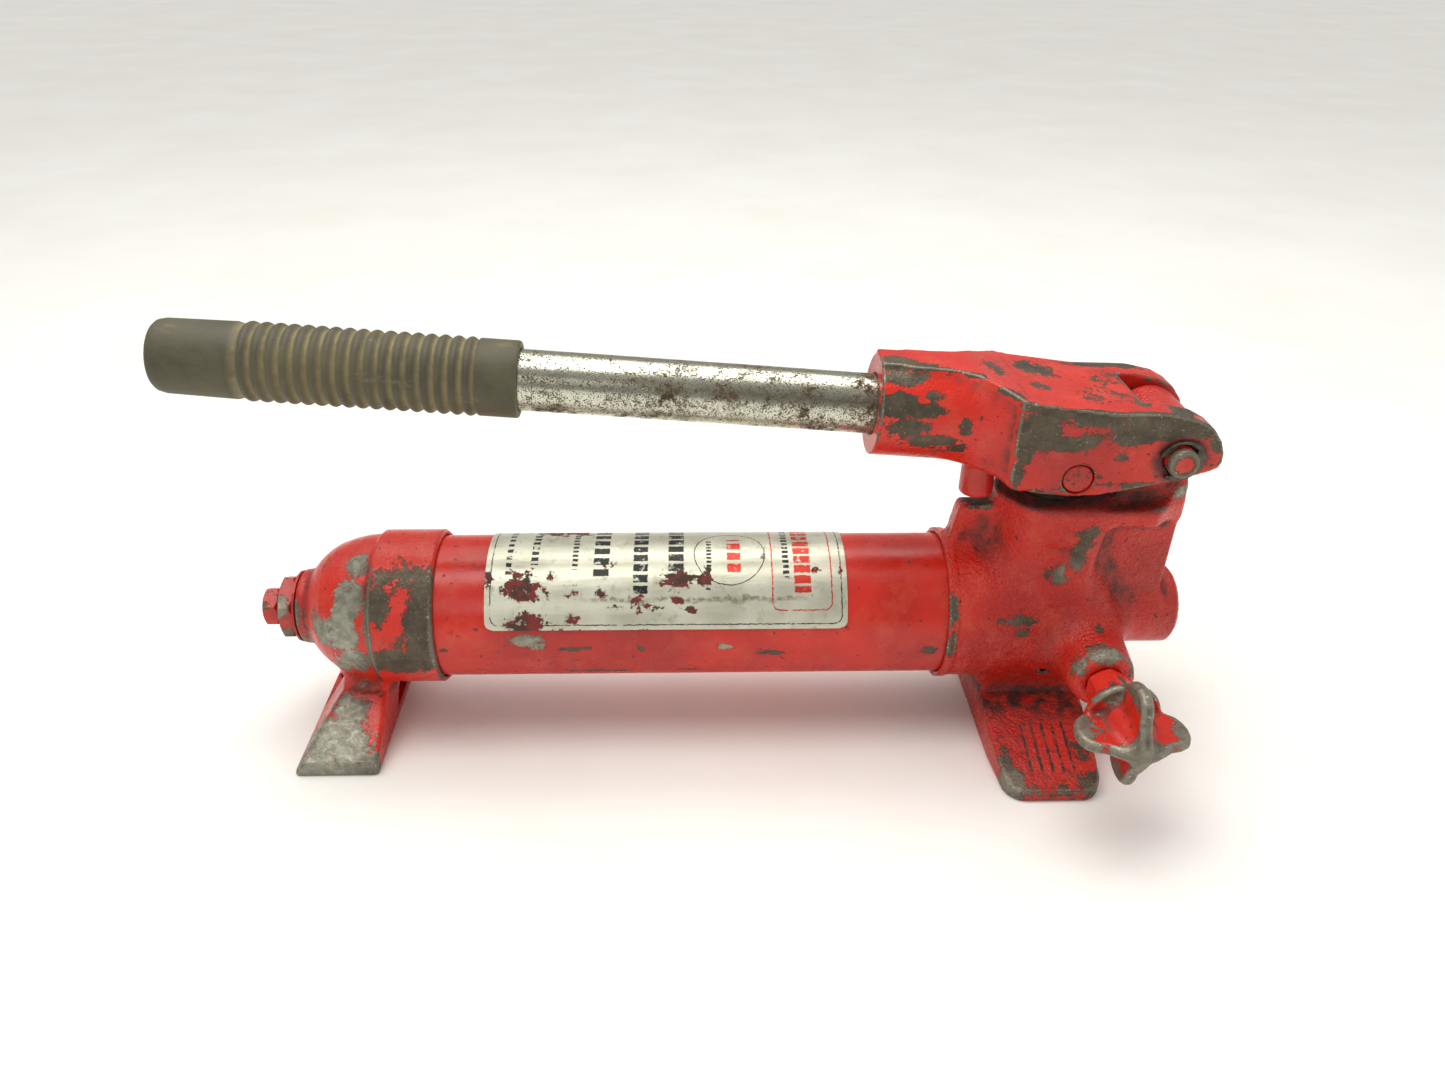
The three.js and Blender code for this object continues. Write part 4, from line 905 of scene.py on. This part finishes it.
# ------------------------------------------------------------------ lever yoke
def yoke_field():
    head = prism("y", [
        (-24.8, 116), (-14, 113.2), (-3, 112.1), (8, 112.4), (20.1, 114.8), (39.8, 119.6),
        (47.6, 122.1), (50.4, 123.6), (51.3, 126), (51, 129.5), (49.2, 134), (45.4, 138.9),
        (39.5, 142), (28.3, 144.6), (7, 145.2), (-21.5, 149), (-24.8, 149.2),
    ], -YOKE_HALF, YOKE_HALF, 0.9)
    halves = [
        (-60, 6.6), (-50, 7.4), (-44, 8.6), (-38, 11.8), (-32, 16.6), (-26.5, 22), (-23, 24.6), (-20, 25),
    ]
    plan = [(x, -half) for x, half in halves] + [(x, half) for x, half in reversed(halves)]
    neck_plan = prism("z", plan, 112, 170)
    below = prism("y", [
        (-62, 134), (-36, 119), (-21, 114.6), (-18, 114.6), (-18, 175), (-62, 175),
    ], -27, 27)
    socket_end, socket_root = on_handle(-73.3), on_handle(-20)
    socket = along_handle(rod("x", SOCKET_R, socket_end, socket_root, 0, 0, 0.7))
    ridge = along_handle(box(socket_end, on_handle(-36), -7.4, 7.4, 8, 30, 0.7))
    top = prism("y", [
        (-80, 80), (60, 80), (60, 144.0), (28.3, 144.6), (7, 145.2), (-21.5, 149), (-29, 151.6),
        (-37, 154.2), (-46, 155.2), (-80, 157.6),
    ], -30, 30)
    flare = common(neck_plan, below, 2)
    casting = joined(joined(socket, ridge, 1.2), flare, 7)
    casting = joined(casting, head, 2.5)
    casting = common(casting, top, 0.8)
    peg = rod("z", 6.5, 101, 128, PEG_X, 0, 1.3)
    casting = joined(casting, peg, 3)
    casting = common(casting, along_handle(box(socket_end, 140, -25, 25, -60, 60)), 0.6)
    slot = prism("y", [
        (-19, 90), (60, 90), (60, 165), (22, 165), (22, 138.5), (-17, 138.5), (-19, 136.5),
    ], -SLOT_HALF, SLOT_HALF)
    for hole in (
        slot,
        rod("y", LUG_R + 0.9, -SLOT_HALF, SLOT_HALF, *FULCRUM),
        along_handle(rod("x", 11.45, socket_end - 3, on_handle(-21.6), 0, 0)),
        rod("y", PIN_HOLE_R, -30, 30, *FULCRUM),
        rod("y", PIN_HOLE_R, -30, 30, 0, PLUNGER_PIN_Z),
        rod("z", 3.35, 99, 128, PEG_X, 0),
    ):
        casting = cut(casting, hole, 0.5)
    return casting


YOKE_WORN = [
    ((-17, -25, 139.5), (8, 3, 9), 1.25), ((-21, -25, 131), (3.6, 3, 5), 1.1),
    ((-8, -25, 133.5), (10, 3, 3.0), 1.0), ((4, -25, 142.5), (14, 3, 3.4), 0.95),
    ((18, -25, 139.4), (11, 3, 6.2), 1.25), ((30, -25, 139.2), (8, 3, 5), 1.15),
    ((42, -25, 139.4), (9, 3, 4.4), 1.15), ((48, -25, 134), (3.2, 3, 5), 0.95),
    ((0, -25, 144.8), (26, 3, 1.6), 1.15), ((-22.5, -25, 121), (1.8, 3, 8), 0.8),
    ((3, -25, 136), (6, 3, 3), 0.55), ((14, -25, 128), (4, 3, 2), 0.62),
    ((45, -25, 126), (5, 3, 3), 0.5), ((20, -25, 117), (20, 3, 1.4), 0.55),
    ((-10, -25, 115), (12, 3, 2), 0.5), ((-29, -20.5, 150.5), (9, 5.0, 2.2), 1.0),
    ((-40, -12, 154.5), (9, 4, 1.6), 0.8), ((-22, -25, 148), (4, 2.5, 2.4), 1.1),
    ((34, -20, 143.2), (6, 6, 1.6), 1.05), ((24, -24, 144.4), (20, 2.4, 1.6), 1.0),
    ((50.5, -19, 126), (2, 7, 4), 0.7), ((40, -16, 141.6), (6, 4, 2), 0.7),
    ((46, -18, 138), (4, 5, 3), 0.7), ((-62, -8.5, 156.2), (15, 3.6, 1.6), 1.0),
    ((-50, -6, 157), (8, 3.4, 1.6), 0.8), ((-66, -3, 157), (8, 4, 2), 0.75),
    ((-64, -11, 152.5), (8, 3.4, 2.6), 0.95), ((-67, -18, 145.5), (7, 5, 4.2), 1.2),
    ((-57, -18, 143), (9, 4, 2.8), 0.88), ((-42, -20, 137.5), (3.4, 5, 4.4), 1.0),
    ((-55, -18, 131.5), (12, 6, 3.4), 0.74), ((-63, -18, 137), (10, 5, 3.8), 0.74),
    ((-44, -18, 128), (6, 5, 2.4), 0.62), ((-53, -16, 148), (4, 4, 3), 0.6),
    ((-73, -14, 145), (1.4, 8, 12), 0.6), ((-10, 12, 147.5), (14, 9, 2), 0.66),
    ((8, -8, 145.5), (16, 11, 2), 0.66), ((-13, -6, 148.2), (6, 5, 2), 0.72),
    ((-28, 2, 152), (9, 9, 2), 0.64), ((16, 8, 145), (8, 8, 2), 0.62),
    ((16, 22, 145), (26, 3.0, 2), 0.8), ((0, 25, 136), (18, 3, 8), 0.7),
    ((30, 25, 137), (12, 3, 6), 0.9), ((-62, 14, 146), (12, 6, 6), 0.8),
    ((22, -6, 142), (2, 8, 4), 0.7), ((22, -14, 144.6), (3, 5, 1.6), 0.9),
]
cast_piece("cast_yoke", yoke_field(), (-75, -25, 100.5), (51.5, 25, 158), 0.8, "lever",
           yoke_paint, ("lever_yoke",), YOKE_WORN)


# ------------------------------------------------------------------ release knob
def knob_field():
    side = [(8.6, 2.2), (11.6, 4.2), (15.2, 4.9), (18.4, 6.6), (20.0, 9.6), (20.5, 13.2), (19.9, 17.0),
            (18.4, 20.0), (15.6, 22.2), (8.0, 25.0)]
    lobes = [(-4.4, 0.0), (4.4, 0.0)] + side + [(-a, b) for a, b in reversed(side)]
    outline = [(a, b + KNOB_FRONT_Y) for a, b in lobes]
    x, z = RELEASE
    flat = prism("z", [(x + a, b) for a, b in outline], z - 2.3, z + 2.3, 1.9)
    upright = prism("x", [(b, z + a) for a, b in outline], x - 2.3, x + 2.3, 1.9)
    hub = turned("y", [
        (-61.5, 0), (-61.5, 6.6), (-66.6, 6.6), (-68, 8.8), (-80, 7.2), (-89, 4.8), (-89, 0),
    ], x, z)
    rear_web = rod("y", 14, -69.6, -66.4, x, z, 1.4)
    shape = joined(flat, upright, 3.0)
    shape = joined(shape, rear_web, 2.0)
    shape = common(joined(shape, hub, 3.0), box(-10, 40, KNOB_FRONT_Y, -61, 20, 70), 0.8)
    shape = cut(shape, rod("y", 4.3, -86.4, -60, x, z), 0.4)
    return cut(shape, rod("x", 1.5, x - 8, x + 8, -64.3, z), 0.3)


KNOB_WORN = [
    ((16, -91, 45), (30, 5, 30), 1.0), ((-2, -78, 45), (9, 12, 5), 0.8),
    ((34.5, -80, 45), (5.5, 12, 5), 0.9), ((16, -80, 64), (5, 12, 6), 1.0),
    ((16, -78, 26), (5, 14, 8), 1.0), ((16, -68, 56), (12, 3.5, 6), 0.9),
]
cast_piece("cast_knob", knob_field(), (-5, -92, 24), (37, -61, 66), 0.5, "release_valve",
           knob_paint, ("release_knob",), KNOB_WORN)


# ------------------------------------------------------------------ plunger
def plunger_field():
    """A shaft with a head that has a slotted eye for the driving pin."""
    def stadium(half_length, half_height, y):
        reach = half_length - half_height
        ends = [rod("y", half_height, -y, y, side * reach, PLUNGER_PIN_Z) for side in (-1, 1)]
        middle = box(-reach, reach, -y, y, PLUNGER_PIN_Z - half_height, PLUNGER_PIN_Z + half_height)
        return joined(joined(*ends), middle)

    shaft = rod("z", 7.94, 42.5, 112, 0, 0, 0.8)
    head = common(stadium(12.8, 10.2, 12), box(-20, 20, -8, 8, 90, 140), 0.8)
    return cut(joined(shaft, head, 2.0), stadium(8.8, 6.2, 9), 0.6)


cast_piece("plated_plunger", plunger_field(), (-13, -8.2, 42), (13, 8.2, 130), 0.6, "plunger",
           plunger_steel, ("plunger",))


# ------------------------------------------------------------------ reservoir tube and label
TUBE_WORN = [
    ((-205, -28.4, 51.5), (8.5, 6, 3.6), 1.2), ((-200, -28.6, 48.6), (7, 6, 2.6), 1.1),
    ((-188, -28.5, 47.2), (7, 5, 1.9), 1.2), ((-182, -28.5, 47.6), (3.2, 5, 1.5), 1.1),
    ((-160.5, -28.5, 47.3), (2.8, 5, 2.2), 1.2), ((-127.5, -28.5, 47.8), (4.6, 5, 1.6), 1.2),
    ((-109, -28, 44.6), (8, 5, 1.9), 1.0), ((-176, -23.4, 32.6), (17, 4, 1.1), 1.1),
    ((-142, -23.6, 33.2), (6, 4, 1.1), 1.15), ((-206, -27.2, 40), (6, 5, 1.0), 0.7),
    ((-219, -19, 70.4), (5, 6, 1.8), 0.9), ((-236, -27, 47), (3, 5, 1.2), 0.85),
    ((-232, -28, 55), (3, 5, 2), 0.5), ((-47, -28.3, 45), (4, 6, 3), 0.95),
    ((-36, -26, 42), (3, 8, 20), 0.5), ((-62, -22, 66), (2.5, 5, 2), 0.6),
    ((-140, 28, 45), (16, 6, 3), 0.9), ((-90, 26, 36), (9, 6, 3), 0.9),
    ((-200, 27, 40), (12, 6, 4), 0.8),
]
tube_rings = [(-252, 28.3, False, 0.8), (-251.6, TUBE_R, False, 0.6)]
tube_rings += [(x, TUBE_R, False, 0.0) for x in np.linspace(-250, -34, 110)]
tube_rings += [(-32.4, TUBE_R, False, 0.6), (-32, 28.3, False, 0.8), (-32, 26.2, False, 0.2),
               (-252, 26.2, False, 0.2)]
spun("drawn_tube", "x", tube_rings, "pump", "red_paint", tube_paint, ("reservoir_tube",), 0, TUBE_Z,
     sides=160, worn=TUBE_WORN,
     bright=[((-204, -28, 50), (9, 9, 5), 0.9), ((-127, -28, 48), (5, 6, 4), 1.0)])


LABEL_WORN = [
    ((-205, -19.3, 70), (9.5, 9, 6.5), 1.0), ((-204, -26.8, 59), (10, 7, 4.4), 1.0),
    ((-205, -28.3, 56), (7, 6, 3.0), 1.0), ((-146, -17.0, 72), (8, 7, 3.6), 0.95),
    ((-135, -16.6, 72.3), (3.6, 6, 3.4), 0.95), ((-162, -23.7, 65), (3.8, 6, 4.2), 0.95),
    ((-146, -23, 66), (3.4, 5, 1.6), 0.9), ((-140, -24.8, 63.3), (2.6, 5, 1.6), 0.85),
    ((-186, -21.2, 68), (4.0, 5, 1.6), 0.85), ((-194, -15.3, 73), (2.4, 5, 1.6), 0.9),
    ((-174, -21.5, 68), (5, 5, 1.8), 0.7), ((-160, -24.4, 64), (20, 4, 1.5), 0.62),
    ((-186, -26.3, 60.3), (4, 5, 2.2), 0.8), ((-219, -17, 72), (2.4, 8, 3.4), 0.9),
    ((-92, -13.5, 74.2), (3, 5, 1.2), 0.7), ((-112, -7.4, 76.6), (2, 4, 1.2), 0.7),
    ((-173, -11, 75.3), (4, 5, 1.4), 0.7), ((-82.5, -15, 73.4), (2, 5, 1.4), 0.85),
    ((-190, -27.8, 56), (9, 4, 1.2), 0.75), ((-160, -27.9, 56), (3, 4, 1.0), 0.8),
    ((-190, 12, 75), (16, 9, 5), 0.9), ((-120, 20, 69), (10, 7, 6), 0.8),
    ((-150, 27, 59), (12, 5, 5), 0.8),
]


def label_sheet():
    """A thin curved sheet with rounded corners, closed all round."""
    rows, columns, corner = 90, 140, 3.2
    down = np.linspace(0, LABEL_WIDE, rows)
    near_end = np.minimum(down, LABEL_WIDE - down)
    dip = np.maximum(corner - near_end, 0.0)
    trim = corner - np.sqrt(np.maximum(corner ** 2 - dip ** 2, 0.0))
    share = np.linspace(0, 1, columns)
    u = trim[:, None] + share[None, :] * (LABEL_LONG - 2 * trim[:, None])
    angle = (LABEL_START + down / LABEL_INNER_R)[:, None] + 0 * u
    across = down[:, None] + 0 * u
    sides = []
    for radius in (LABEL_INNER_R, LABEL_INNER_R + LABEL_THICK):
        y, z = -radius * np.cos(angle), TUBE_Z + radius * np.sin(angle)
        sides.append(np.stack([LABEL_LEFT_X + u, y, z], axis=-1).reshape(-1, 3))
    index = np.arange(rows * columns).reshape(rows, columns)
    a, b, c, d = index[:-1, :-1], index[:-1, 1:], index[1:, 1:], index[1:, :-1]
    under = np.stack([a, d, c, b], axis=-1).reshape(-1, 4)
    over = np.stack([a, b, c, d], axis=-1).reshape(-1, 4) + rows * columns
    border = np.concatenate([index[0, :-1], index[:-1, -1], index[-1, :0:-1], index[:0:-1, 0]])
    after = np.roll(border, -1)
    rim = np.stack([border, after, after + rows * columns, border + rows * columns], axis=-1)
    points = np.concatenate(sides)
    worn = patch_strength(points, LABEL_WORN)
    return points, np.concatenate([under, over, rim]), np.tile(across.ravel(), 2), worn


label_points, label_faces, label_across, label_worn = label_sheet()
add_piece("foil_label", label_points, label_faces, "pump", foil, ("reservoir_label",),
          {"across": label_across, "worn": label_worn}, crease=40)


# ------------------------------------------------------------------ nuts, screws and valve gland
def chamfered_hex(start, stop, flats, bore, chamfer=1.0, corner=0.55):
    """Rings of a hexagon whose corners are turned off at both ends."""
    tip = flats / math.sqrt(3)
    least = flats / 2 - corner
    near = [(start + chamfer * t, least + (tip - least) * t ** 0.8, True, 0.9 - 0.7 * t)
            for t in np.linspace(0, 1, 6)]
    far = [(start + stop - along, *ring) for along, *ring in reversed(near)]
    middle = [((start + stop) / 2, tip, True, 0.1)]
    return [(start, bore, False, 0.3)] + near + middle + far + [(stop, bore, False, 0.3)]


SMALL_FLATS, LARGE_FLATS = 14.3, 23.8
HEX_TURN = math.pi / 6
spun("chamfered_nut", "x", chamfered_hex(-305.0, -298.8, LARGE_FLATS, TIE_HOLE_R, 1.3), "pump",
     "red_paint", nut_paint, ("tie_rod_nut",), 0, TUBE_Z, flats=LARGE_FLATS, turn=HEX_TURN,
     worn=[((-303, -11, 56), (3, 5, 5), 1.0), ((-302, -11, 44), (4, 4, 3), 0.9),
           ((-302, -8, 38), (4, 6, 3), 0.8)],
     bright=[((-303, -10, 52), (4, 8, 9), 0.6)])

VENT_HEX_X = -306.5
vent_rings = chamfered_hex(VENT_HEX_X - 6.3, VENT_HEX_X, SMALL_FLATS, 1.0, 1.1)
vent_rings = vent_rings[:-1] + [(VENT_HEX_X, 3, False, 0), (VENT_HEX_X + 11.6, 3, False, 0),
                                (VENT_HEX_X + 12, 2.6, False, 0), (VENT_HEX_X + 12, 1, False, 0)]
spun("vent_plug", "x", vent_rings, "vent_screw", "red_paint", nut_paint, ("vent_screw",), 0, TUBE_Z,
     flats=SMALL_FLATS, turn=HEX_TURN, worn=[((-311, -6, 53), (2, 3, 2), 0.7)])

gland_rings = chamfered_hex(-60, -50.3, SMALL_FLATS, 4.3, 1.1)[:-1]
gland_rings += [(-50.3, 6.45, False, 0.2), (-42.4, 6.45, False, 0), (-42, 6.1, False, 0),
                (-42, 4.3, False, 0)]
spun("release_gland", "y", gland_rings, "pump", "red_paint", nut_paint, ("release_gland_nut",), *RELEASE,
     flats=SMALL_FLATS, turn=HEX_TURN,
     worn=[((19, -56, 51), (3, 3, 2), 0.9), ((14, -58, 52), (2, 2, 2), 0.6)])

stem_rings = [(-86, 0.05, False, 0), (-86, 3.4, False, 0), (-85.4, 4, False, 0), (-35.8, 4, False, 0),
              (-35.8, 4.4, False, 0), (-35.4, 4.8, False, 0)]
THREAD_FROM_Y, STEM_TIP_Y = -34.6, -22.6
for groove in range(9):
    at = THREAD_FROM_Y + groove
    stem_rings += [(at, 4.8, False, 0), (at + 0.5, 4.4, False, 0)]
stem_rings += [(STEM_TIP_Y - 3, 4.8, False, 0), (STEM_TIP_Y - 2.8, 2.6, False, 0),
               (STEM_TIP_Y, 2.2, False, 0), (STEM_TIP_Y, 0.05, False, 0)]
spun("screwed_stem", "y", stem_rings, "release_valve", "bare_steel", steel, ("release_stem",),
     *RELEASE, sides=64)


# ------------------------------------------------------------------ handle tube and grip
def laid_on_handle(piece):
    """Moves mesh points from the handle's own frame to where the handle lies."""
    x, z = HANDLE_PIVOT
    place = Matrix.Translation((x * MM, 0, z * MM)) @ Matrix.Rotation(HANDLE_SLOPE, 4, "Y")
    piece.data.transform(place)
    piece.data.update()


HANDLE_RIM_R, HANDLE_BORE_R = 10.7, 9.46
tube_from, tube_to = on_handle(-326.5), on_handle(-22)
handle_rings = [(tube_from, HANDLE_RIM_R), (tube_from + 0.4, HANDLE_R)]
handle_rings += [(x, HANDLE_R) for x in np.linspace(tube_from + 2, tube_to - 2, 60)]
handle_rings += [(tube_to - 0.4, HANDLE_R), (tube_to, HANDLE_RIM_R), (tube_to, HANDLE_BORE_R),
                 (tube_from, HANDLE_BORE_R)]
laid_on_handle(spun("plated_handle", "x", [(a, r, False, 0) for a, r in handle_rings], "lever",
                    "handle_chrome", chrome, ("handle_tube",), sides=112))

grip_end, grip_mouth = on_handle(-329.2), on_handle(-202)
RIBS, RIB_PITCH, GRIP_PLAIN = 17, 4.8, 30.9


def grip_rings():
    """A rounded end, a plain stretch, the ribs, and a lip at the mouth."""
    rings = [(grip_end, 0.05), (grip_end, 10.6), (grip_end + 0.5, 11.8), (grip_end + 1.5, 12.7),
             (grip_end + 4, 13.3)]
    rings += [(grip_end + x, 13.3 + 0.02 * (x - 4)) for x in np.arange(6, GRIP_PLAIN - 1, 2)]
    for rib in range(RIBS):
        start = grip_end + GRIP_PLAIN + rib * RIB_PITCH
        for share in np.linspace(0, 0.92, 12):
            swell = math.sin(math.pi * share) ** 1.25
            rings.append((start + RIB_PITCH * share, 13.0 + 1.25 * swell))
    ribs_end = grip_end + GRIP_PLAIN + RIBS * RIB_PITCH
    rings += [(ribs_end, 13.1), (ribs_end + 0.5, 13.8), (ribs_end + 1.0, 14.0)]
    rings += [(grip_mouth - 0.9, 14.0), (grip_mouth - 0.2, 13.7), (grip_mouth, 13.1), (grip_mouth, 11.45)]
    rings += [(tube_from - 0.4, 11.45), (tube_from - 0.4, 0.05)]
    return rings


GRIP_SIDES = 96
grip_profile = grip_rings()
grip = spun("ribbed_grip", "x", [(a, r, False, 0.0) for a, r in grip_profile], "lever",
            "grip_rubber", rubber, ("handle_grip",), sides=GRIP_SIDES, crease=60)
grooves = [min(max((13.95 - r) / 0.7, 0.0), 1.0) if r > 12 and a > grip_end + GRIP_PLAIN - 1 else 0.0
           for a, r in grip_profile]
grooves = np.repeat(grooves, GRIP_SIDES).astype(np.float32)
grip.data.attributes["corner"].data.foreach_set("value", grooves)
laid_on_handle(grip)


# ------------------------------------------------------------------ pins and retaining rings
def pin_rings(half, groove=None, wear=1.0):
    """Rings of a pin with rounded ends, and a groove near each end if its near and far y are given."""
    side = [(0.0, PIN_R, False, 0.0)]
    if groove:
        near, far = groove
        side += [(near, PIN_R, False, 0.3), (near, 5.0, False, 0.2),
                 (far, 5.0, False, 0.2), (far, PIN_R, False, 0.6)]
    side += [(half - 0.9, PIN_R, False, wear), (half - 0.35, PIN_R - 0.25, False, wear),
             (half, PIN_R - 0.8, False, wear), (half, PIN_R - 1.8, False, 0.7 * wear),
             (half, 2.4, False, 0.0), (half, 0.05, False, 0.0)]
    return [(-along, *ring) for along, *ring in reversed(side)] + side[1:]


spun("grooved_fulcrum_pin", "y", pin_rings(29.5, (25.02, 26.7)), "lever", "blackened_steel", pin_paint,
     ("fulcrum_pin",), *FULCRUM, sides=72)
spun("driven_plunger_pin", "y", pin_rings(24.7, wear=0.3), "lever", "blackened_steel", yoke_paint,
     ("plunger_pin",), 0, PLUNGER_PIN_Z, sides=72,
     worn=[((0, 0, PLUNGER_PIN_Z), (14, 17, 14), 1.2), ((-1, -25, 121), (2, 2, 2), 0.4)])


def retaining_ring(name, inner_y, outer_y, node, lean):
    """An E-shaped clip: a broad band with three prongs that grip the pin, open on one side."""
    steps = 130
    opening = math.radians(34)
    angles = np.linspace(opening, 2 * math.pi - opening, steps)
    prong = np.zeros(steps)
    for centre in (math.radians(60), math.pi, 2 * math.pi - math.radians(60)):
        off_centre = np.abs(angles - centre) / math.radians(15)
        prong = np.maximum(prong, np.clip(1.25 - off_centre, 0.0, 1.0))
    inner = 6.7 - 1.35 * prong ** 0.7
    outer = 8.0 + 0.9 * np.clip(np.cos(angles * 2) * 0.8 + 0.2, -0.2, 1.0)
    points = []
    bevel = math.copysign(0.18, outer_y - inner_y)
    for level, shrink in (
        (inner_y, 0.15), (inner_y + bevel, 0.0), (outer_y - bevel, 0.0), (outer_y, 0.15),
    ):
        for radius in (inner + shrink, outer - shrink):
            x = FULCRUM[0] + radius * np.cos(angles + lean)
            z = FULCRUM[1] + radius * np.sin(angles + lean)
            points.append(np.stack([x, np.full(steps, level), z], axis=1))
    loop = [0, 1, 3, 5, 7, 6, 4, 2]
    grid = np.stack([np.arange(steps) + strand * steps for strand in loop])
    after = np.roll(grid, -1, axis=0)
    band = np.stack([grid[:, :-1], after[:, :-1], after[:, 1:], grid[:, 1:]], axis=-1).reshape(-1, 4)
    ends = []
    for column, flip in ((0, True), (steps - 1, False)):
        g = [strand * steps + column for strand in range(8)]
        quads = [(g[0], g[1], g[3], g[2]), (g[2], g[3], g[5], g[4]), (g[4], g[5], g[7], g[6])]
        ends += [q[::-1] if flip else q for q in quads]
    faces = np.concatenate([band, np.array(ends)])
    if outer_y < inner_y:
        faces = faces[:, ::-1]
    points = np.concatenate(points)
    marks = {"edge": np.full(len(points), 0.5), "corner": np.zeros(len(points)),
             "worn": np.full(len(points), 0.6), "bright": np.zeros(len(points))}
    add_piece(name, points, faces, "lever", dark_steel, (node,), marks, crease=30)


retaining_ring("clip_near", -25.3, -26.4, "fulcrum_ring_front", math.radians(200))
retaining_ring("clip_far", 25.3, 26.4, "fulcrum_ring_rear", math.radians(70))

# ------------------------------------------------------------------ CAD nodes that keep their shape
kept = {
    "tie_rod": steel, "tie_nut_washer": nut_paint, "suction_ball": steel, "suction_spring": steel,
    "discharge_ball": steel, "discharge_spring": steel, "relief_ball": steel, "relief_spring": steel,
    # The plunger gland nut is blackened so that it reads as painted shade in the gap under the yoke.
    "plunger_gland_nut": dark_steel, "release_ball": steel, "release_knob_pin": steel,
    "relief_screw": dark_steel, "handle_set_screw": dark_steel,
    "head_tube_seal": seal, "cap_tube_seal": seal, "vent_screw_seal": seal, "plunger_packing": seal,
    "plunger_wiper": seal, "release_stem_seal": seal,
    "suction_seat": brass, "suction_tube": brass, "suction_strainer": brass, "discharge_retainer": brass,
    "plunger_backup_ring": brass,
}
for node, finish in kept.items():
    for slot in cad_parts[node].material_slots:
        slot.material = finish


# ------------------------------------------------------------------ camera
FRAME_WIDTH, FOCAL_LENGTH = 1445, 1064


def place_camera():
    pitch, yaw, roll = (math.radians(a) for a in (31.3, 2.06, 0.77))
    distance, rise = 440.1, math.radians(34.58)
    ahead = np.array([math.sin(yaw), math.cos(yaw), 0.0])
    forward = math.cos(pitch) * ahead - [0.0, 0.0, math.sin(pitch)]
    level = np.array([math.cos(yaw), -math.sin(yaw), 0.0])
    raised = np.cross(level, forward)
    right = math.cos(roll) * level + math.sin(roll) * raised
    up = -math.sin(roll) * level + math.cos(roll) * raised
    eye = np.array([-141.0, -distance * math.cos(rise), TUBE_Z + distance * math.sin(rise)]) * MM
    camera = bpy.data.objects.new("camera", bpy.data.cameras.new("camera"))
    camera.data.sensor_width = 36
    camera.data.lens = FOCAL_LENGTH / FRAME_WIDTH * camera.data.sensor_width
    columns = np.stack([right, up, -forward, eye], axis=1)
    camera.matrix_world = Matrix([*columns.tolist(), [0, 0, 0, 1]])
    bpy.context.scene.collection.objects.link(camera)
    bpy.context.scene.camera = camera


place_camera()


# ------------------------------------------------------------------ floor and light
def pale_floor():
    s = Shader("pale_floor")
    cloud = s.ramp(s.noise(7, 5.0, 0.6), 0.35, 0.65)
    s.set(Base_Color=s.mix(cloud, (0.90, 0.885, 0.835), (0.94, 0.935, 0.905)), Roughness=0.55)
    mesh = bpy.data.meshes.new("floor")
    reach = 6.0
    corners = [(-reach, -reach, 0), (reach, -reach, 0), (reach, reach, 0), (-reach, reach, 0)]
    mesh.from_pydata(corners, [], [(0, 1, 2, 3)])
    mesh.materials.append(s.material)
    floor = bpy.data.objects.new("floor", mesh)
    bpy.context.scene.collection.objects.link(floor)


def soft_box(name, place, target, size, power):
    light = bpy.data.lights.new(name, "AREA")
    light.shape = "RECTANGLE"
    light.size, light.size_y = size
    light.energy = power
    light.color = (1.0, 0.99, 0.96)
    box_light = bpy.data.objects.new(name, light)
    aim = Vector(target) - Vector(place)
    box_light.rotation_euler = aim.to_track_quat("-Z", "Y").to_euler()
    box_light.location = place
    bpy.context.scene.collection.objects.link(box_light)


pale_floor()
soft_box("top_light", (-0.25, 0.15, 1.10), (-0.14, 0.0, 0.05), (1.3, 0.7), 8.0)
soft_box("front_light", (-0.55, -1.10, 0.75), (-0.14, 0.0, 0.08), (0.8, 0.5), 1.7)
soft_box("right_light", (0.95, -0.35, 0.60), (-0.05, 0.0, 0.08), (0.5, 0.6), 1.2)
sky = bpy.data.lights.new("sky_light", "SUN")
sky.energy = 1.40
sky.angle = math.radians(70)
sky.color = (1.0, 0.985, 0.95)
sky_light = bpy.data.objects.new("sky_light", sky)
sky_light.rotation_euler = (math.radians(-14), math.radians(-12), 0)
bpy.context.scene.collection.objects.link(sky_light)

world = bpy.data.worlds.new("studio")
world.use_nodes = True
background = world.node_tree.nodes["Background"]
background.inputs["Color"].default_value = (0.97, 0.965, 0.93, 1)
background.inputs["Strength"].default_value = 0.39
bpy.context.scene.world = world
bpy.context.scene.view_settings.view_transform = "Standard"
